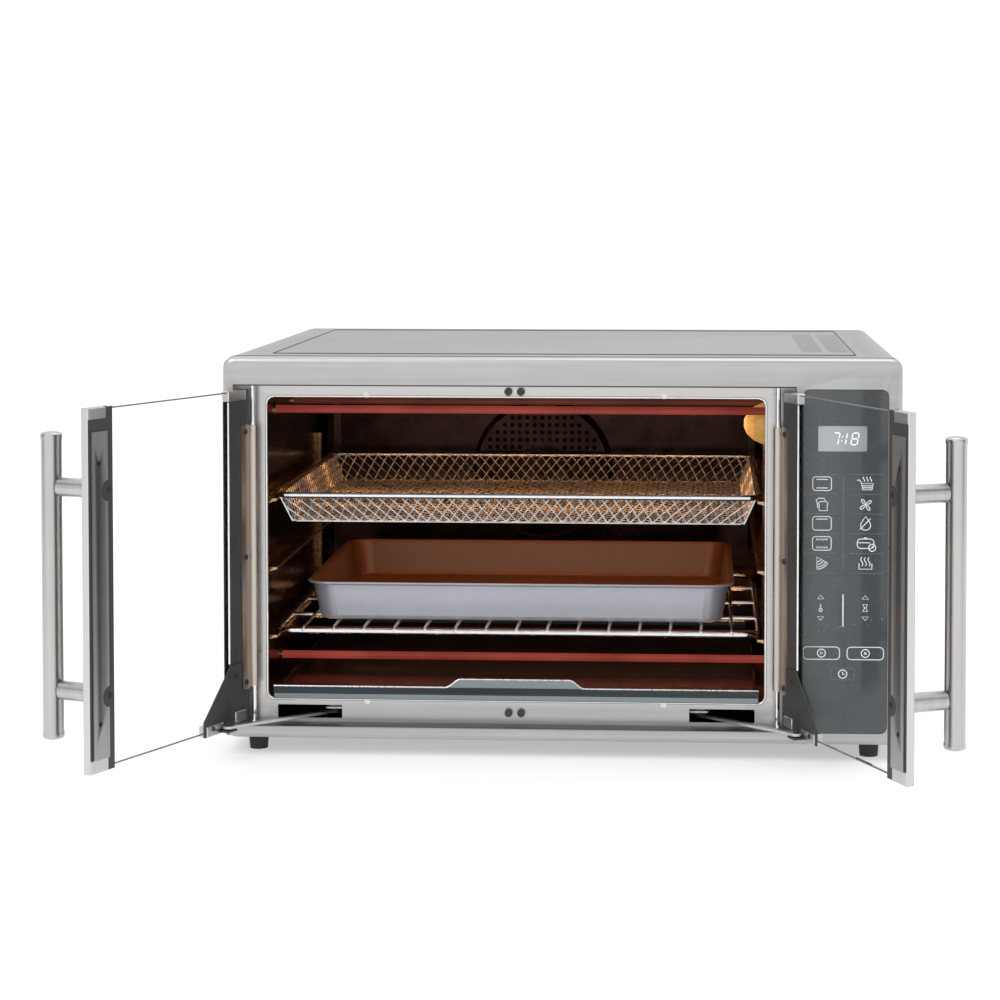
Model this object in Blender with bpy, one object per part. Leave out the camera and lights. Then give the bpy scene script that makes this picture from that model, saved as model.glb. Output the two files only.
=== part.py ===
"""Countertop oven with two glass doors that open together, a touch panel, racks, a pan and a crumb tray.

Lengths are in metres. Oven coordinates: x runs right from the line where the doors meet, y runs back
from the front face of the bezel, z runs up from the lower edge of the body. The empty "oven" carries
them all, so that the world origin is under the middle of the whole object, on the counter.
"""
import math

import bmesh
import bpy
from mathutils import Matrix

# ---- driving dimensions --------------------------------------------------------------------------
BODY_LEFT = -0.2495
BODY_RIGHT = 0.3295
BODY_HEIGHT = 0.3285
BODY_CORNER = 0.0100
FOOT_HEIGHT = 0.0146
SHEET = 0.0012
GAP = 0.0003

WRAP_BACK = 0.4380
BACK_FACE = 0.4450
MOTOR_COVER_BACK = 0.4750
EMBOSS_INSET = 0.0215
EMBOSS_RISE = 0.0012

BEZEL_DEPTH = 0.0100
RECESS_HALF = 0.2405
RECESS_LOW = 0.0103
RECESS_HIGH = 0.3040
PANEL_LEFT = 0.2457
PANEL_RIGHT = 0.3175
PANEL_LOW = 0.0103
PANEL_HIGH = 0.3022

FRAME_FRONT = 0.0200
FRAME_BACK = 0.0215
MOUTH_HALF = 0.2142
MOUTH_LOW = 0.0312
MOUTH_HIGH = 0.2924
SLOT_INNER = 0.1500
SLOT_OUTER = 0.2060
SLOT_LOW = 0.0139
SLOT_HIGH = 0.0254

CAVITY_HALF = 0.2245
CAVITY_BACK = 0.4090
CAVITY_FLOOR = 0.0300
CAVITY_ROOF = 0.2970

HEATER_RADIUS = 0.0035
UPPER_HEATERS = {"front": 0.120, "middle": 0.220, "rear": 0.320}
LOWER_HEATERS = {"front": 0.150, "rear": 0.280}
UPPER_HEATER_Z = 0.2735
LOWER_HEATER_Z = 0.0450

FAN_Z = 0.1900
FAN_RADIUS = 0.0580
FAN_COVER_RADIUS = 0.0750
SHAFT_RADIUS = 0.0030

LAMP_Y = 0.1700
LAMP_Z = 0.2580
LAMP_RADIUS = 0.0200

LEDGE_INNER = 0.2085
LEDGE_TOPS = (0.0835, 0.1430, 0.2030)
RAIL_FRONT = 0.0320
RAIL_BACK = 0.3880

HINGE_X = 0.2250
HINGE_Y = 0.0100
OPEN_ANGLE = math.radians(114)
DOOR_EDGE = 0.2243
DOOR_LOW = 0.0110
DOOR_HIGH = 0.3000
GLASS_PLANE = -0.0060
GLASS_HALF = 0.0020
STILE_HALF = 0.00325
STILE_SKIN = 0.0010
STILE_WIDTH = 0.0320

HANDLE_U = 0.1970
HANDLE_OUT = 0.0600
HANDLE_RADIUS = 0.0090
HANDLE_LOW = 0.0295
HANDLE_HIGH = 0.2774
POST_RADIUS = 0.0077
POST_HEIGHTS = {"lower": 0.0697, "upper": 0.2335}

PIVOT_U = 0.0450
PIVOT_V = 0.0040
PIVOT_RADIUS = 0.0020
LINK_LENGTH = 0.1100
LINK_LOW = 0.0150
LINK_HIGH = 0.0172
LINK_OPEN_ANGLE = math.radians(42)

FRONT_REACH = (
    DOOR_EDGE * math.sin(OPEN_ANGLE)
    - HINGE_Y
    + (GLASS_PLANE + STILE_HALF) * math.cos(OPEN_ANGLE) * -1
)
MIDDLE_Y = (MOTOR_COVER_BACK - FRONT_REACH) / 2


# ---- materials -----------------------------------------------------------------------------------
def material(name, colour, roughness, metallic=0.0):
    """A Principled material of one finish."""
    made = bpy.data.materials.new(name)
    made.use_nodes = True
    shader = made.node_tree.nodes["Principled BSDF"]
    shader.inputs["Base Color"].default_value = (*colour, 1.0)
    shader.inputs["Roughness"].default_value = roughness
    shader.inputs["Metallic"].default_value = metallic
    made.diffuse_color = (*colour, 1.0)
    return made


FINISHES = {
    "brushed_steel": ((0.60, 0.60, 0.61), 0.30, 1.0),
    "chrome_wire": ((0.75, 0.75, 0.77), 0.15, 1.0),
    "cavity_steel": ((0.30, 0.27, 0.25), 0.35, 1.0),
    "heater_metal": ((0.45, 0.12, 0.06), 0.50, 0.3),
    "black_paint": ((0.03, 0.03, 0.03), 0.50, 0.0),
    "black_rubber": ((0.02, 0.02, 0.02), 0.80, 0.0),
    "slate_glass": ((0.09, 0.10, 0.12), 0.12, 0.0),
    "door_glass": ((0.85, 0.90, 0.90), 0.05, 0.0),
    "display_grey": ((0.55, 0.56, 0.58), 0.30, 0.0),
    "pan_coating": ((0.45, 0.46, 0.50), 0.35, 0.7),
    "lamp_glass": ((0.95, 0.80, 0.45), 0.20, 0.0),
    "circuit_board": ((0.05, 0.25, 0.10), 0.50, 0.0),
}


# ---- helpers -------------------------------------------------------------------------------------
def empty(name, parent=None, location=(0, 0, 0), turn=0.0):
    """A frame for parts; turn is about z."""
    made = bpy.data.objects.new(name, None)
    bpy.context.collection.objects.link(made)
    made.parent = parent
    made.location = location
    made.rotation_euler = (0, 0, turn)
    return made


def node(name, bm, finish, parent):
    """Make one named part from a closed bmesh, with its faces pointing out."""
    bmesh.ops.remove_doubles(bm, verts=bm.verts, dist=0.00001)
    bmesh.ops.recalc_face_normals(bm, faces=bm.faces)
    mesh = bpy.data.meshes.new(name)
    bm.to_mesh(mesh)
    bm.free()
    mesh.shade_smooth()
    mesh.set_sharp_from_angle(angle=math.radians(35))
    colour, roughness, metallic = FINISHES[finish]
    mesh.materials.append(material(name + "_" + finish, colour, roughness, metallic))
    made = bpy.data.objects.new(name, mesh)
    bpy.context.collection.objects.link(made)
    made.parent = parent
    return made


def combined(first, second, operation):
    """The union or difference of two closed bmeshes, as a new bmesh."""
    pieces = []
    for number, bm in enumerate((first, second)):
        bmesh.ops.recalc_face_normals(bm, faces=bm.faces)
        mesh = bpy.data.meshes.new("work")
        bm.to_mesh(mesh)
        bm.free()
        piece = bpy.data.objects.new("work_" + str(number), mesh)
        bpy.context.collection.objects.link(piece)
        pieces.append(piece)
    cut = pieces[0].modifiers.new("combine", "BOOLEAN")
    cut.operation = operation
    cut.solver = "EXACT"
    cut.object = pieces[1]
    bpy.context.view_layer.update()
    result = bpy.data.meshes.new_from_object(pieces[0].evaluated_get(bpy.context.evaluated_depsgraph_get()))
    bm = bmesh.new()
    bm.from_mesh(result)
    for piece in pieces:
        mesh = piece.data
        bpy.data.objects.remove(piece)
        bpy.data.meshes.remove(mesh)
    bpy.data.meshes.remove(result)
    return bm


def union(first, second):
    return combined(first, second, "UNION")


def difference(first, second):
    return combined(first, second, "DIFFERENCE")


def box(low, high, bm=None):
    """Add a box between two corners."""
    bm = bm or bmesh.new()
    sizes = [b - a for a, b in zip(low, high)]
    middle = [(a + b) / 2 for a, b in zip(low, high)]
    matrix = Matrix.Translation(middle) @ Matrix.Diagonal((*sizes, 1.0))
    bmesh.ops.create_cube(bm, size=1.0, matrix=matrix)
    return bm


TURNS = {
    "x": Matrix.Rotation(math.pi / 2, 4, "Y"),
    "y": Matrix.Rotation(-math.pi / 2, 4, "X"),
    "z": Matrix.Identity(4),
}


def rod(axis, centre, start, end, radius, sides=16, bm=None, end_radius=None):
    """Add a cylinder or cone along an axis; centre holds its other two coordinates."""
    bm = bm or bmesh.new()
    middle = (start + end) / 2
    place = {
        "x": (middle, centre[0], centre[1]),
        "y": (centre[0], middle, centre[1]),
        "z": (centre[0], centre[1], middle),
    }[axis]
    bmesh.ops.create_cone(
        bm,
        cap_ends=True,
        segments=sides,
        radius1=radius,
        radius2=radius if end_radius is None else end_radius,
        depth=abs(end - start),
        matrix=Matrix.Translation(place) @ TURNS[axis],
    )
    return bm


def rounded(low, high, radius, steps=4):
    """Outline of a rectangle with round corners, anticlockwise."""
    (x0, y0), (x1, y1) = low, high
    corners = (
        (x1 - radius, y0 + radius, -90),
        (x1 - radius, y1 - radius, 0),
        (x0 + radius, y1 - radius, 90),
        (x0 + radius, y0 + radius, 180),
    )
    outline = []
    for cx, cy, start in corners:
        for step in range(steps + 1):
            angle = math.radians(start + 90 * step / steps)
            outline.append((cx + radius * math.cos(angle), cy + radius * math.sin(angle)))
    return outline


def circle(centre, radius, sides=16):
    turn = 2 * math.pi / sides
    return [
        (centre[0] + radius * math.cos(turn * i), centre[1] + radius * math.sin(turn * i))
        for i in range(sides)
    ]


PLANES = {
    "x": lambda p, d: (d, p[0], p[1]),
    "y": lambda p, d: (p[0], d, p[1]),
    "z": lambda p, d: (p[0], p[1], d),
}


def ring_of(bm, outline, axis, depth):
    return [bm.verts.new(PLANES[axis](p, depth)) for p in outline]


def skin(bm, first, second):
    """Join two equal rings of points with quads."""
    for i in range(len(first)):
        j = (i + 1) % len(first)
        bm.faces.new((first[i], first[j], second[j], second[i]))


def edges_of(rings):
    found = []
    for ring in rings:
        for i, vert in enumerate(ring):
            following = ring[(i + 1) % len(ring)]
            found.append(next(e for e in vert.link_edges if e.other_vert(vert) == following))
    return found


def plate(axis, start, end, outline, holes=()):
    """A flat plate of any outline with holes, extruded along an axis."""
    bm = bmesh.new()
    fronts = []
    backs = []
    for loop in (outline, *holes):
        front = ring_of(bm, loop, axis, start)
        back = ring_of(bm, loop, axis, end)
        skin(bm, front, back)
        fronts.append(front)
        backs.append(back)
    for rings in (fronts, backs):
        bmesh.ops.triangle_fill(bm, use_beauty=True, edges=edges_of(rings))
    return bm


def loft(axis, levels):
    """A solid through a list of (outline, depth) levels, closed at both ends."""
    bm = bmesh.new()
    rings = [ring_of(bm, outline, axis, depth) for outline, depth in levels]
    for first, second in zip(rings, rings[1:]):
        skin(bm, first, second)
    bm.faces.new(list(reversed(rings[0])))
    bm.faces.new(rings[-1])
    return bm


def grow(low, high, amount):
    return (low[0] - amount, low[1] - amount), (high[0] + amount, high[1] + amount)


def tray(low, high, floor, rim, radius, wall, flare=0.0, lip=0.0):
    """An open tray: walls lean out by flare and end in a flat lip."""
    out_low, out_high = grow(low, high, -flare - lip)
    top_low, top_high = grow(low, high, -lip)
    lip_drop = min(wall * 2, (rim - floor) / 3)
    levels = [(rounded(out_low, out_high, radius), floor)]
    levels.append((rounded(top_low, top_high, radius), rim - lip_drop))
    if lip:
        levels.append((rounded(low, high, radius + lip), rim - lip_drop))
        levels.append((rounded(low, high, radius + lip), rim))
    in_low, in_high = grow(top_low, top_high, -wall)
    bottom_low, bottom_high = grow(out_low, out_high, -wall)
    levels.append((rounded(in_low, in_high, radius - wall), rim))
    levels.append((rounded(bottom_low, bottom_high, radius - wall), floor + wall))
    return loft("z", levels)


def wire_loop(low, high, corner, z, radius, sides=8):
    """A closed loop of round wire, flat in z."""
    bm = bmesh.new()
    path = rounded(low, high, corner, steps=5)
    rings = []
    for i, (x, y) in enumerate(path):
        before = path[i - 1]
        after = path[(i + 1) % len(path)]
        direction = math.atan2(after[1] - before[1], after[0] - before[0])
        out = (math.sin(direction), -math.cos(direction))
        ring = []
        for side in range(sides):
            angle = 2 * math.pi * (side + 0.5) / sides
            reach = radius * math.cos(angle)
            ring.append(bm.verts.new((x + out[0] * reach, y + out[1] * reach, z + radius * math.sin(angle))))
        rings.append(ring)
    for i, ring in enumerate(rings):
        skin(bm, ring, rings[(i + 1) % len(rings)])
    return bm


# ---- body shell ----------------------------------------------------------------------------------
def body_outline(inset=0.0):
    return rounded(
        (BODY_LEFT + inset, inset), (BODY_RIGHT - inset, BODY_HEIGHT - inset), BODY_CORNER - inset, steps=5
    )


def outer_wrap(oven):
    """Folded sheet over the top and both sides, with a raised panel pressed into the top."""
    outer = [p for p in body_outline() if p[1] > BODY_CORNER + 0.0001]
    inner = [p for p in body_outline(SHEET) if p[1] > BODY_CORNER + 0.0001]
    outer = [(BODY_RIGHT, 0.0)] + outer + [(BODY_LEFT, 0.0)]
    inner = [(BODY_RIGHT - SHEET, 0.0)] + inner + [(BODY_LEFT + SHEET, 0.0)]
    section = outer + list(reversed(inner))
    bm = plate("y", BEZEL_DEPTH + GAP, WRAP_BACK, section)
    bm.faces.ensure_lookup_table()
    top = max(bm.faces, key=lambda f: (round(f.calc_center_median().z, 5), f.calc_area()))
    bmesh.ops.inset_region(bm, faces=[top], thickness=EMBOSS_INSET)
    bmesh.ops.inset_region(bm, faces=[top], thickness=0.006, depth=0.0)
    bmesh.ops.translate(bm, verts=top.verts, vec=(0, 0, EMBOSS_RISE))
    return node("outer_wrap", bm, "brushed_steel", oven)


def front_bezel(oven):
    """Front face plate with a rounded outer edge, a recess for the doors and an opening for the panel."""
    levels = ((0.0040, 0.0), (0.0020, 0.0008), (0.0008, 0.0020), (0.0, 0.0040))
    bm = bmesh.new()
    rings = [ring_of(bm, body_outline(), "y", BEZEL_DEPTH)]
    for inset, depth in levels[::-1]:
        rings.append(ring_of(bm, body_outline(inset), "y", depth))
    for first, second in zip(rings, rings[1:]):
        skin(bm, first, second)
    openings = (
        rounded((-RECESS_HALF - 0.0006, RECESS_LOW - 0.0006), (RECESS_HALF + 0.0006, RECESS_HIGH + 0.0006), 0.0016),
        rounded((PANEL_LEFT - 0.0004, PANEL_LOW - 0.0004), (PANEL_RIGHT + 0.0004, PANEL_HIGH + 0.0004), 0.006),
    )
    fronts = [rings[-1]]
    backs = [rings[0]]
    for opening in openings:
        front = ring_of(bm, opening, "y", levels[0][1])
        back = ring_of(bm, opening, "y", BEZEL_DEPTH)
        skin(bm, front, back)
        fronts.append(front)
        backs.append(back)
    for found in (fronts, backs):
        bmesh.ops.triangle_fill(bm, use_beauty=True, edges=edges_of(found))
    recess_outer = rounded(
        (-RECESS_HALF - SHEET, RECESS_LOW - SHEET), (RECESS_HALF + SHEET, RECESS_HIGH + SHEET), 0.0022
    )
    recess_inner = rounded((-RECESS_HALF, RECESS_LOW), (RECESS_HALF, RECESS_HIGH), 0.0010, 2)
    sleeve = plate("y", 0.0006, FRAME_FRONT - GAP, recess_outer, [recess_inner])
    bm = union(bm, sleeve)
    pins = bmesh.new()
    for side in (-1, 1):
        rod("z", (side * HINGE_X, HINGE_Y), RECESS_HIGH - 0.002, RECESS_HIGH + 0.0022, 0.0026, 12, pins)
        rod("z", (side * HINGE_X, HINGE_Y), RECESS_LOW - 0.0022, RECESS_LOW + 0.002, 0.0026, 12, pins)
    return node("front_bezel", difference(bm, pins), "brushed_steel", oven)


def inner_frame(oven):
    """Steel plate round the cavity mouth, with two slots that the door links pass through."""
    outline = rounded(
        (-RECESS_HALF - 0.0020, RECESS_LOW - 0.0020), (RECESS_HALF + 0.0020, RECESS_HIGH + 0.0020), 0.004
    )
    holes = [rounded((-MOUTH_HALF, MOUTH_LOW), (MOUTH_HALF, MOUTH_HIGH), 0.0060)]
    holes.append(rounded((-SLOT_OUTER, SLOT_LOW), (-SLOT_INNER, SLOT_HIGH), 0.0008, 2))
    holes.append(rounded((SLOT_INNER, SLOT_LOW), (SLOT_OUTER, SLOT_HIGH), 0.0008, 2))
    bm = plate("y", FRAME_FRONT, FRAME_BACK, outline, holes)
    return node("inner_frame", bm, "brushed_steel", oven)


def cavity_outline(inset, front):
    """Plan of the cavity: square at the front, round at the two rear corners."""
    half = CAVITY_HALF - inset
    back = CAVITY_BACK - inset
    round_part = [p for p in rounded((-half, front), (half, back), 0.018 - inset) if p[1] > (front + back) / 2]
    return [(half, front)] + round_part + [(-half, front)]


def cavity_liner(oven):
    """Open-fronted steel box that food cooks in."""
    outer = plate(
        "z", CAVITY_FLOOR - SHEET, CAVITY_ROOF + SHEET, cavity_outline(-SHEET, FRAME_BACK + GAP)
    )
    inner = plate("z", CAVITY_FLOOR, CAVITY_ROOF, cavity_outline(0.0, 0.0))
    bm = difference(outer, inner)
    reach = CAVITY_HALF + 0.010
    drills = bmesh.new()
    for y in UPPER_HEATERS.values():
        rod("x", (y, UPPER_HEATER_Z), -reach, reach, HEATER_RADIUS + 0.0006, 12, drills)
    for y in LOWER_HEATERS.values():
        rod("x", (y, LOWER_HEATER_Z), -reach, reach, HEATER_RADIUS + 0.0006, 12, drills)
    rod("x", (LAMP_Y, LAMP_Z), CAVITY_HALF - 0.005, reach, LAMP_RADIUS - 0.004, 20, drills)
    rod("y", (0.0, FAN_Z), CAVITY_BACK - 0.005, CAVITY_BACK + 0.005, SHAFT_RADIUS + 0.002, 12, drills)
    return node("cavity_liner", difference(bm, drills), "cavity_steel", oven)


def base_plate(oven):
    inset = SHEET + GAP
    bm = box((BODY_LEFT + inset, BEZEL_DEPTH + GAP, 0.0), (BODY_RIGHT - inset, WRAP_BACK, SHEET))
    return node("base_plate", bm, "cavity_steel", oven)


def rear_cover(oven):
    """Shallow black cover that closes the back, open over the fan motor."""
    outer = plate("y", WRAP_BACK + GAP, BACK_FACE, body_outline())
    inner = plate("y", WRAP_BACK - 0.005, BACK_FACE - SHEET, body_outline(0.002))
    bm = difference(outer, inner)
    hole = rod("y", (0.0, FAN_Z), BACK_FACE - 0.005, BACK_FACE + 0.005, 0.034, 24)
    return node("rear_cover", difference(bm, hole), "black_paint", oven)


def motor_cover(oven):
    """Pressed box on the back over the fan motor."""
    low, high = (-0.080, FAN_Z - 0.065), (0.080, FAN_Z + 0.065)
    outer = loft(
        "y",
        [
            (rounded(low, high, 0.012), BACK_FACE + GAP),
            (rounded(low, high, 0.012), MOTOR_COVER_BACK - 0.004),
            (rounded(*grow(low, high, -0.004), 0.008), MOTOR_COVER_BACK),
        ],
    )
    inner = plate(
        "y", BACK_FACE - 0.005, MOTOR_COVER_BACK - SHEET, rounded(*grow(low, high, -0.0055), 0.008)
    )
    return node("motor_cover", difference(outer, inner), "black_paint", oven)


def feet(oven):
    for side, x in (("left", BODY_LEFT + 0.025), ("right", BODY_RIGHT - 0.025)):
        for end, y in (("front", 0.030), ("rear", 0.412)):
            bm = rod("z", (x, y), -FOOT_HEIGHT, -GAP, 0.0078, 20, end_radius=0.0090)
            node("foot_" + end + "_" + side, bm, "black_rubber", oven)


# ---- cavity fittings -----------------------------------------------------------------------------
def rack_support(oven, side, name):
    """Two posts and three ledges on one side wall."""
    wall = side * (CAVITY_HALF - GAP)
    ledges = bmesh.new()
    for top in LEDGE_TOPS:
        xs = sorted((side * LEDGE_INNER, wall))
        box((xs[0], RAIL_FRONT, top - 0.0020), (xs[1], RAIL_BACK, top), ledges)
    posts = bmesh.new()
    for y in (RAIL_FRONT + 0.012, RAIL_BACK - 0.020):
        xs = sorted((wall - side * 0.0035, wall + side * 0.0001))
        box((xs[0], y, LEDGE_TOPS[0] - 0.020), (xs[1], y + 0.008, LEDGE_TOPS[-1] + 0.025), posts)
    return node(name, union(ledges, posts), "cavity_steel", oven)


def heaters(oven):
    """Straight sheathed elements across the cavity, through both side walls."""
    for level, places, z in (("upper", UPPER_HEATERS, UPPER_HEATER_Z), ("lower", LOWER_HEATERS, LOWER_HEATER_Z)):
        for place, y in places.items():
            bm = rod("x", (y, z), -CAVITY_HALF - 0.008, CAVITY_HALF + 0.008, HEATER_RADIUS, 12)
            node(level + "_heater_" + place, bm, "heater_metal", oven)


def fan_cover(oven):
    """Round dished cover in front of the fan, open in the middle."""
    back = CAVITY_BACK - GAP
    front = back - 0.0180
    levels = [
        (circle((0, FAN_Z), FAN_COVER_RADIUS, 32), back),
        (circle((0, FAN_Z), FAN_COVER_RADIUS, 32), back - 0.0015),
        (circle((0, FAN_Z), FAN_COVER_RADIUS - 0.004, 32), back - 0.0015),
        (circle((0, FAN_Z), FAN_COVER_RADIUS - 0.009, 32), front),
        (circle((0, FAN_Z), 0.026, 32), front),
        (circle((0, FAN_Z), 0.026, 32), front + 0.0012),
        (circle((0, FAN_Z), FAN_COVER_RADIUS - 0.010, 32), front + 0.0012),
        (circle((0, FAN_Z), FAN_COVER_RADIUS - 0.0052, 32), back),
    ]
    bm = bmesh.new()
    rings = [ring_of(bm, outline, "y", depth) for outline, depth in levels]
    for first, second in zip(rings, rings[1:] + rings[:1]):
        skin(bm, first, second)
    return node("fan_cover", bm, "cavity_steel", oven)


def convection_fan(parent):
    """Hub, shaft and six radial blades; its own frame sits on the shaft."""
    hub_front = CAVITY_BACK - 0.0145
    bm = rod("y", (0, 0), hub_front, CAVITY_BACK - 0.0025, 0.010, 20)
    shaft = rod("y", (0, 0), CAVITY_BACK - 0.005, CAVITY_BACK + 0.019, SHAFT_RADIUS, 12)
    bm = union(bm, shaft)
    blades = bmesh.new()
    for number in range(6):
        blade = box((0.006, hub_front + 0.0006, -0.0007), (FAN_RADIUS, CAVITY_BACK - 0.0032, 0.0007))
        bmesh.ops.rotate(blade, verts=blade.verts, cent=(0, 0, 0), matrix=Matrix.Rotation(math.pi * number / 3, 3, "Y"))
        mesh = bpy.data.meshes.new("blade")
        blade.to_mesh(mesh)
        blade.free()
        blades.from_mesh(mesh)
        bpy.data.meshes.remove(mesh)
    return node("convection_fan", union(bm, blades), "cavity_steel", parent)


def fan_motor(oven):
    front = CAVITY_BACK + SHEET + 0.0020
    bm = rod("y", (0, FAN_Z), front, 0.4560, 0.0280, 28)
    bore = rod("y", (0, FAN_Z), front - 0.005, CAVITY_BACK + 0.022, SHAFT_RADIUS + 0.001, 12)
    return node("fan_motor", difference(bm, bore), "circuit_board", oven)


def oven_lamp(oven):
    """Lamp base outside the side wall and a glass dome inside it."""
    wall = CAVITY_HALF + SHEET + GAP
    bm = rod("x", (LAMP_Y, LAMP_Z), wall, wall + 0.0300, LAMP_RADIUS, 24)
    node("lamp_socket", bm, "display_grey", oven)
    start = CAVITY_HALF - GAP
    reach = 0.0260
    levels = []
    for step in range(5):
        angle = math.radians(80 * step / 4)
        levels.append((circle((LAMP_Y, LAMP_Z), LAMP_RADIUS * math.cos(angle), 20), start - reach * math.sin(angle)))
    node("lamp_glass", loft("x", levels), "lamp_glass", oven)


# ---- control panel -------------------------------------------------------------------------------
def control_panel(oven):
    low, high = (PANEL_LEFT, PANEL_LOW), (PANEL_RIGHT, PANEL_HIGH)
    glass = plate("y", -0.0005, 0.0025, rounded(low, high, 0.0056, 5))
    node("control_panel_glass", glass, "slate_glass", oven)
    node("display_module", box((0.2575, 0.0028, 0.2490), (0.3013, 0.0075, 0.2730)), "display_grey", oven)
    carrier_hole = rounded((0.2560, 0.2470), (0.3028, 0.2750), 0.001, 2)
    carrier = plate("y", 0.0028, 0.0080, rounded(*grow(low, high, -0.0010), 0.0046), [carrier_hole])
    node("panel_carrier", carrier, "black_paint", oven)
    board = plate("y", 0.0120, 0.0136, rounded(*grow(low, high, -0.0030), 0.002, 2))
    node("control_board", board, "circuit_board", oven)


def cord_gland(oven):
    """Stepped bush on the back where a mains lead enters; the lead itself is not part of the model."""
    centre = (0.290, 0.045)
    start = BACK_FACE + GAP
    bm = bmesh.new()
    profile = ((0.0105, 0.0), (0.0105, 0.003), (0.0070, 0.0045), (0.0055, 0.018), (0.0036, 0.018), (0.0036, 0.0))
    rings = [ring_of(bm, circle(centre, radius, 20), "y", start + along) for radius, along in profile]
    for first, second in zip(rings, rings[1:] + rings[:1]):
        skin(bm, first, second)
    return node("cord_gland", bm, "black_rubber", oven)


def magnets(oven):
    """Two pairs of round catch magnets on the inner frame, where the doors meet."""
    for level, z in (("upper", 0.2980), ("lower", 0.0205)):
        for side, x in (("left", -0.0054), ("right", 0.0054)):
            bm = rod("y", (x, z), FRAME_FRONT - GAP - 0.0030, FRAME_FRONT - GAP, 0.0034, 16)
            node("magnet_" + level + "_" + side, bm, "black_paint", oven)


# ---- doors ---------------------------------------------------------------------------------------
def mirrored(bm, side):
    """Left parts are made as they are; right parts are their mirror image."""
    if side > 0:
        bmesh.ops.scale(bm, vec=(-1, 1, 1), verts=bm.verts)
    return bm


def hinge_pin(oven, side, name):
    """One rod, held in the bezel above and below, that the door's barrel turns on."""
    bm = rod("z", (side * HINGE_X, HINGE_Y), RECESS_LOW - 0.0018, RECESS_HIGH + 0.0018, 0.0022, 12)
    return node(name + "_hinge_pin", bm, "chrome_wire", oven)


def channel(u_closed, u_open, z_low, z_high):
    """A U section over the edge of the glass: closed at one side, open at the other."""
    out = GLASS_PLANE - STILE_HALF
    inn = GLASS_PLANE + STILE_HALF
    web = STILE_SKIN if u_open > u_closed else -STILE_SKIN
    section = [
        (u_closed, out),
        (u_open, out),
        (u_open, out + STILE_SKIN),
        (u_closed + web, out + STILE_SKIN),
        (u_closed + web, inn - STILE_SKIN),
        (u_open, inn - STILE_SKIN),
        (u_open, inn),
        (u_closed, inn),
    ]
    return plate("z", z_low, z_high, section)


def hinge_leaf():
    """Strip on the inside of the door whose edge is rolled round the hinge pins."""
    inn = GLASS_PLANE + STILE_HALF
    strip = plate("y", inn + GAP, inn + GAP + 0.0012, rounded((0.0025, 0.0416), (0.0150, 0.2707), 0.0050))
    barrel = plate("z", 0.0440, 0.2690, circle((0, 0), 0.0040, 16), [circle((0, 0), 0.0026, 16)])
    return union(strip, barrel)


def hinge_foot():
    """Gusset at the lower hinge corner, with the lug and pin that drive the link."""
    inn = GLASS_PLANE + STILE_HALF + GAP
    outline = [(0.0160, DOOR_LOW), (0.0720, DOOR_LOW), (0.0720, 0.0240), (0.0320, 0.0660), (0.0160, 0.0660)]
    bm = plate("y", inn, inn + 0.0012, outline)
    lug = box((PIVOT_U - 0.0065, inn + 0.0006, 0.0124), (PIVOT_U + 0.0065, PIVOT_V + 0.0050, 0.0140))
    bm = union(bm, lug)
    pin = rod("z", (PIVOT_U, PIVOT_V), 0.0130, 0.0200, PIVOT_RADIUS, 12)
    return union(bm, pin)


def latch_plate():
    """Stiffening strip inside the meeting edge, notched round the handle screws."""
    inn = GLASS_PLANE + STILE_HALF + GAP
    low_u, high_u = 0.2000, 0.2200
    outline = [(high_u, 0.0213), (high_u, 0.2810), (low_u, 0.2810)]
    for z in (POST_HEIGHTS["upper"], POST_HEIGHTS["lower"]):
        for step in range(9):
            angle = math.radians(90 - 180 * step / 8)
            outline.append((low_u + 0.0085 * math.cos(angle), z + 0.0085 * math.sin(angle)))
    outline.append((low_u, 0.0213))
    holes = [circle((0.2120, z), 0.0020, 12) for z in (0.2560, 0.0494)]
    return plate("y", inn, inn + 0.0010, outline, holes)


def handle_bar():
    """Round bar with slightly larger end caps."""
    cap = HANDLE_RADIUS
    bar = HANDLE_RADIUS - 0.0004
    levels = []
    profile = (
        (cap - 0.0012, HANDLE_LOW),
        (cap, HANDLE_LOW + 0.0012),
        (cap, HANDLE_LOW + 0.0060),
        (bar, HANDLE_LOW + 0.0062),
        (bar, HANDLE_HIGH - 0.0062),
        (cap, HANDLE_HIGH - 0.0060),
        (cap, HANDLE_HIGH - 0.0012),
        (cap - 0.0012, HANDLE_HIGH),
    )
    for radius, z in profile:
        levels.append((circle((HANDLE_U, -HANDLE_OUT), radius, 24), z))
    return loft("z", levels)


def door(oven, side, name):
    """One door in its own frame: x along the door from the hinge, y towards the oven."""
    frame = empty(name, oven, (side * HINGE_X, HINGE_Y, 0.0), side * OPEN_ANGLE)
    hinge_z = (DOOR_LOW, DOOR_HIGH)
    glass = box(
        (0.0080, GLASS_PLANE - GLASS_HALF, 0.0137), (DOOR_EDGE - 0.0014, GLASS_PLANE + GLASS_HALF, 0.2980)
    )
    latch_stile = channel(DOOR_EDGE, DOOR_EDGE - STILE_WIDTH, *hinge_z)
    skin_out = GLASS_PLANE - STILE_HALF
    parts = [
        ("glass", glass, "door_glass"),
        ("hinge_stile", channel(0.0046, STILE_WIDTH, *hinge_z), "black_paint"),
        ("latch_stile", latch_stile, "black_paint"),
        ("hinge_leaf", hinge_leaf(), "brushed_steel"),
        ("hinge_foot", hinge_foot(), "black_paint"),
        ("latch_plate", latch_plate(), "brushed_steel"),
        ("handle_bar", handle_bar(), "brushed_steel"),
    ]
    for level, z in POST_HEIGHTS.items():
        start = -HANDLE_OUT + HANDLE_RADIUS + GAP
        post = rod("y", (HANDLE_U, z), start, skin_out - GAP, POST_RADIUS, 20)
        parts.append(("handle_post_" + level, post, "brushed_steel"))
    for part, bm, finish in parts:
        node(name + "_" + part, mirrored(bm, side), finish, frame)
    return frame


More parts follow.
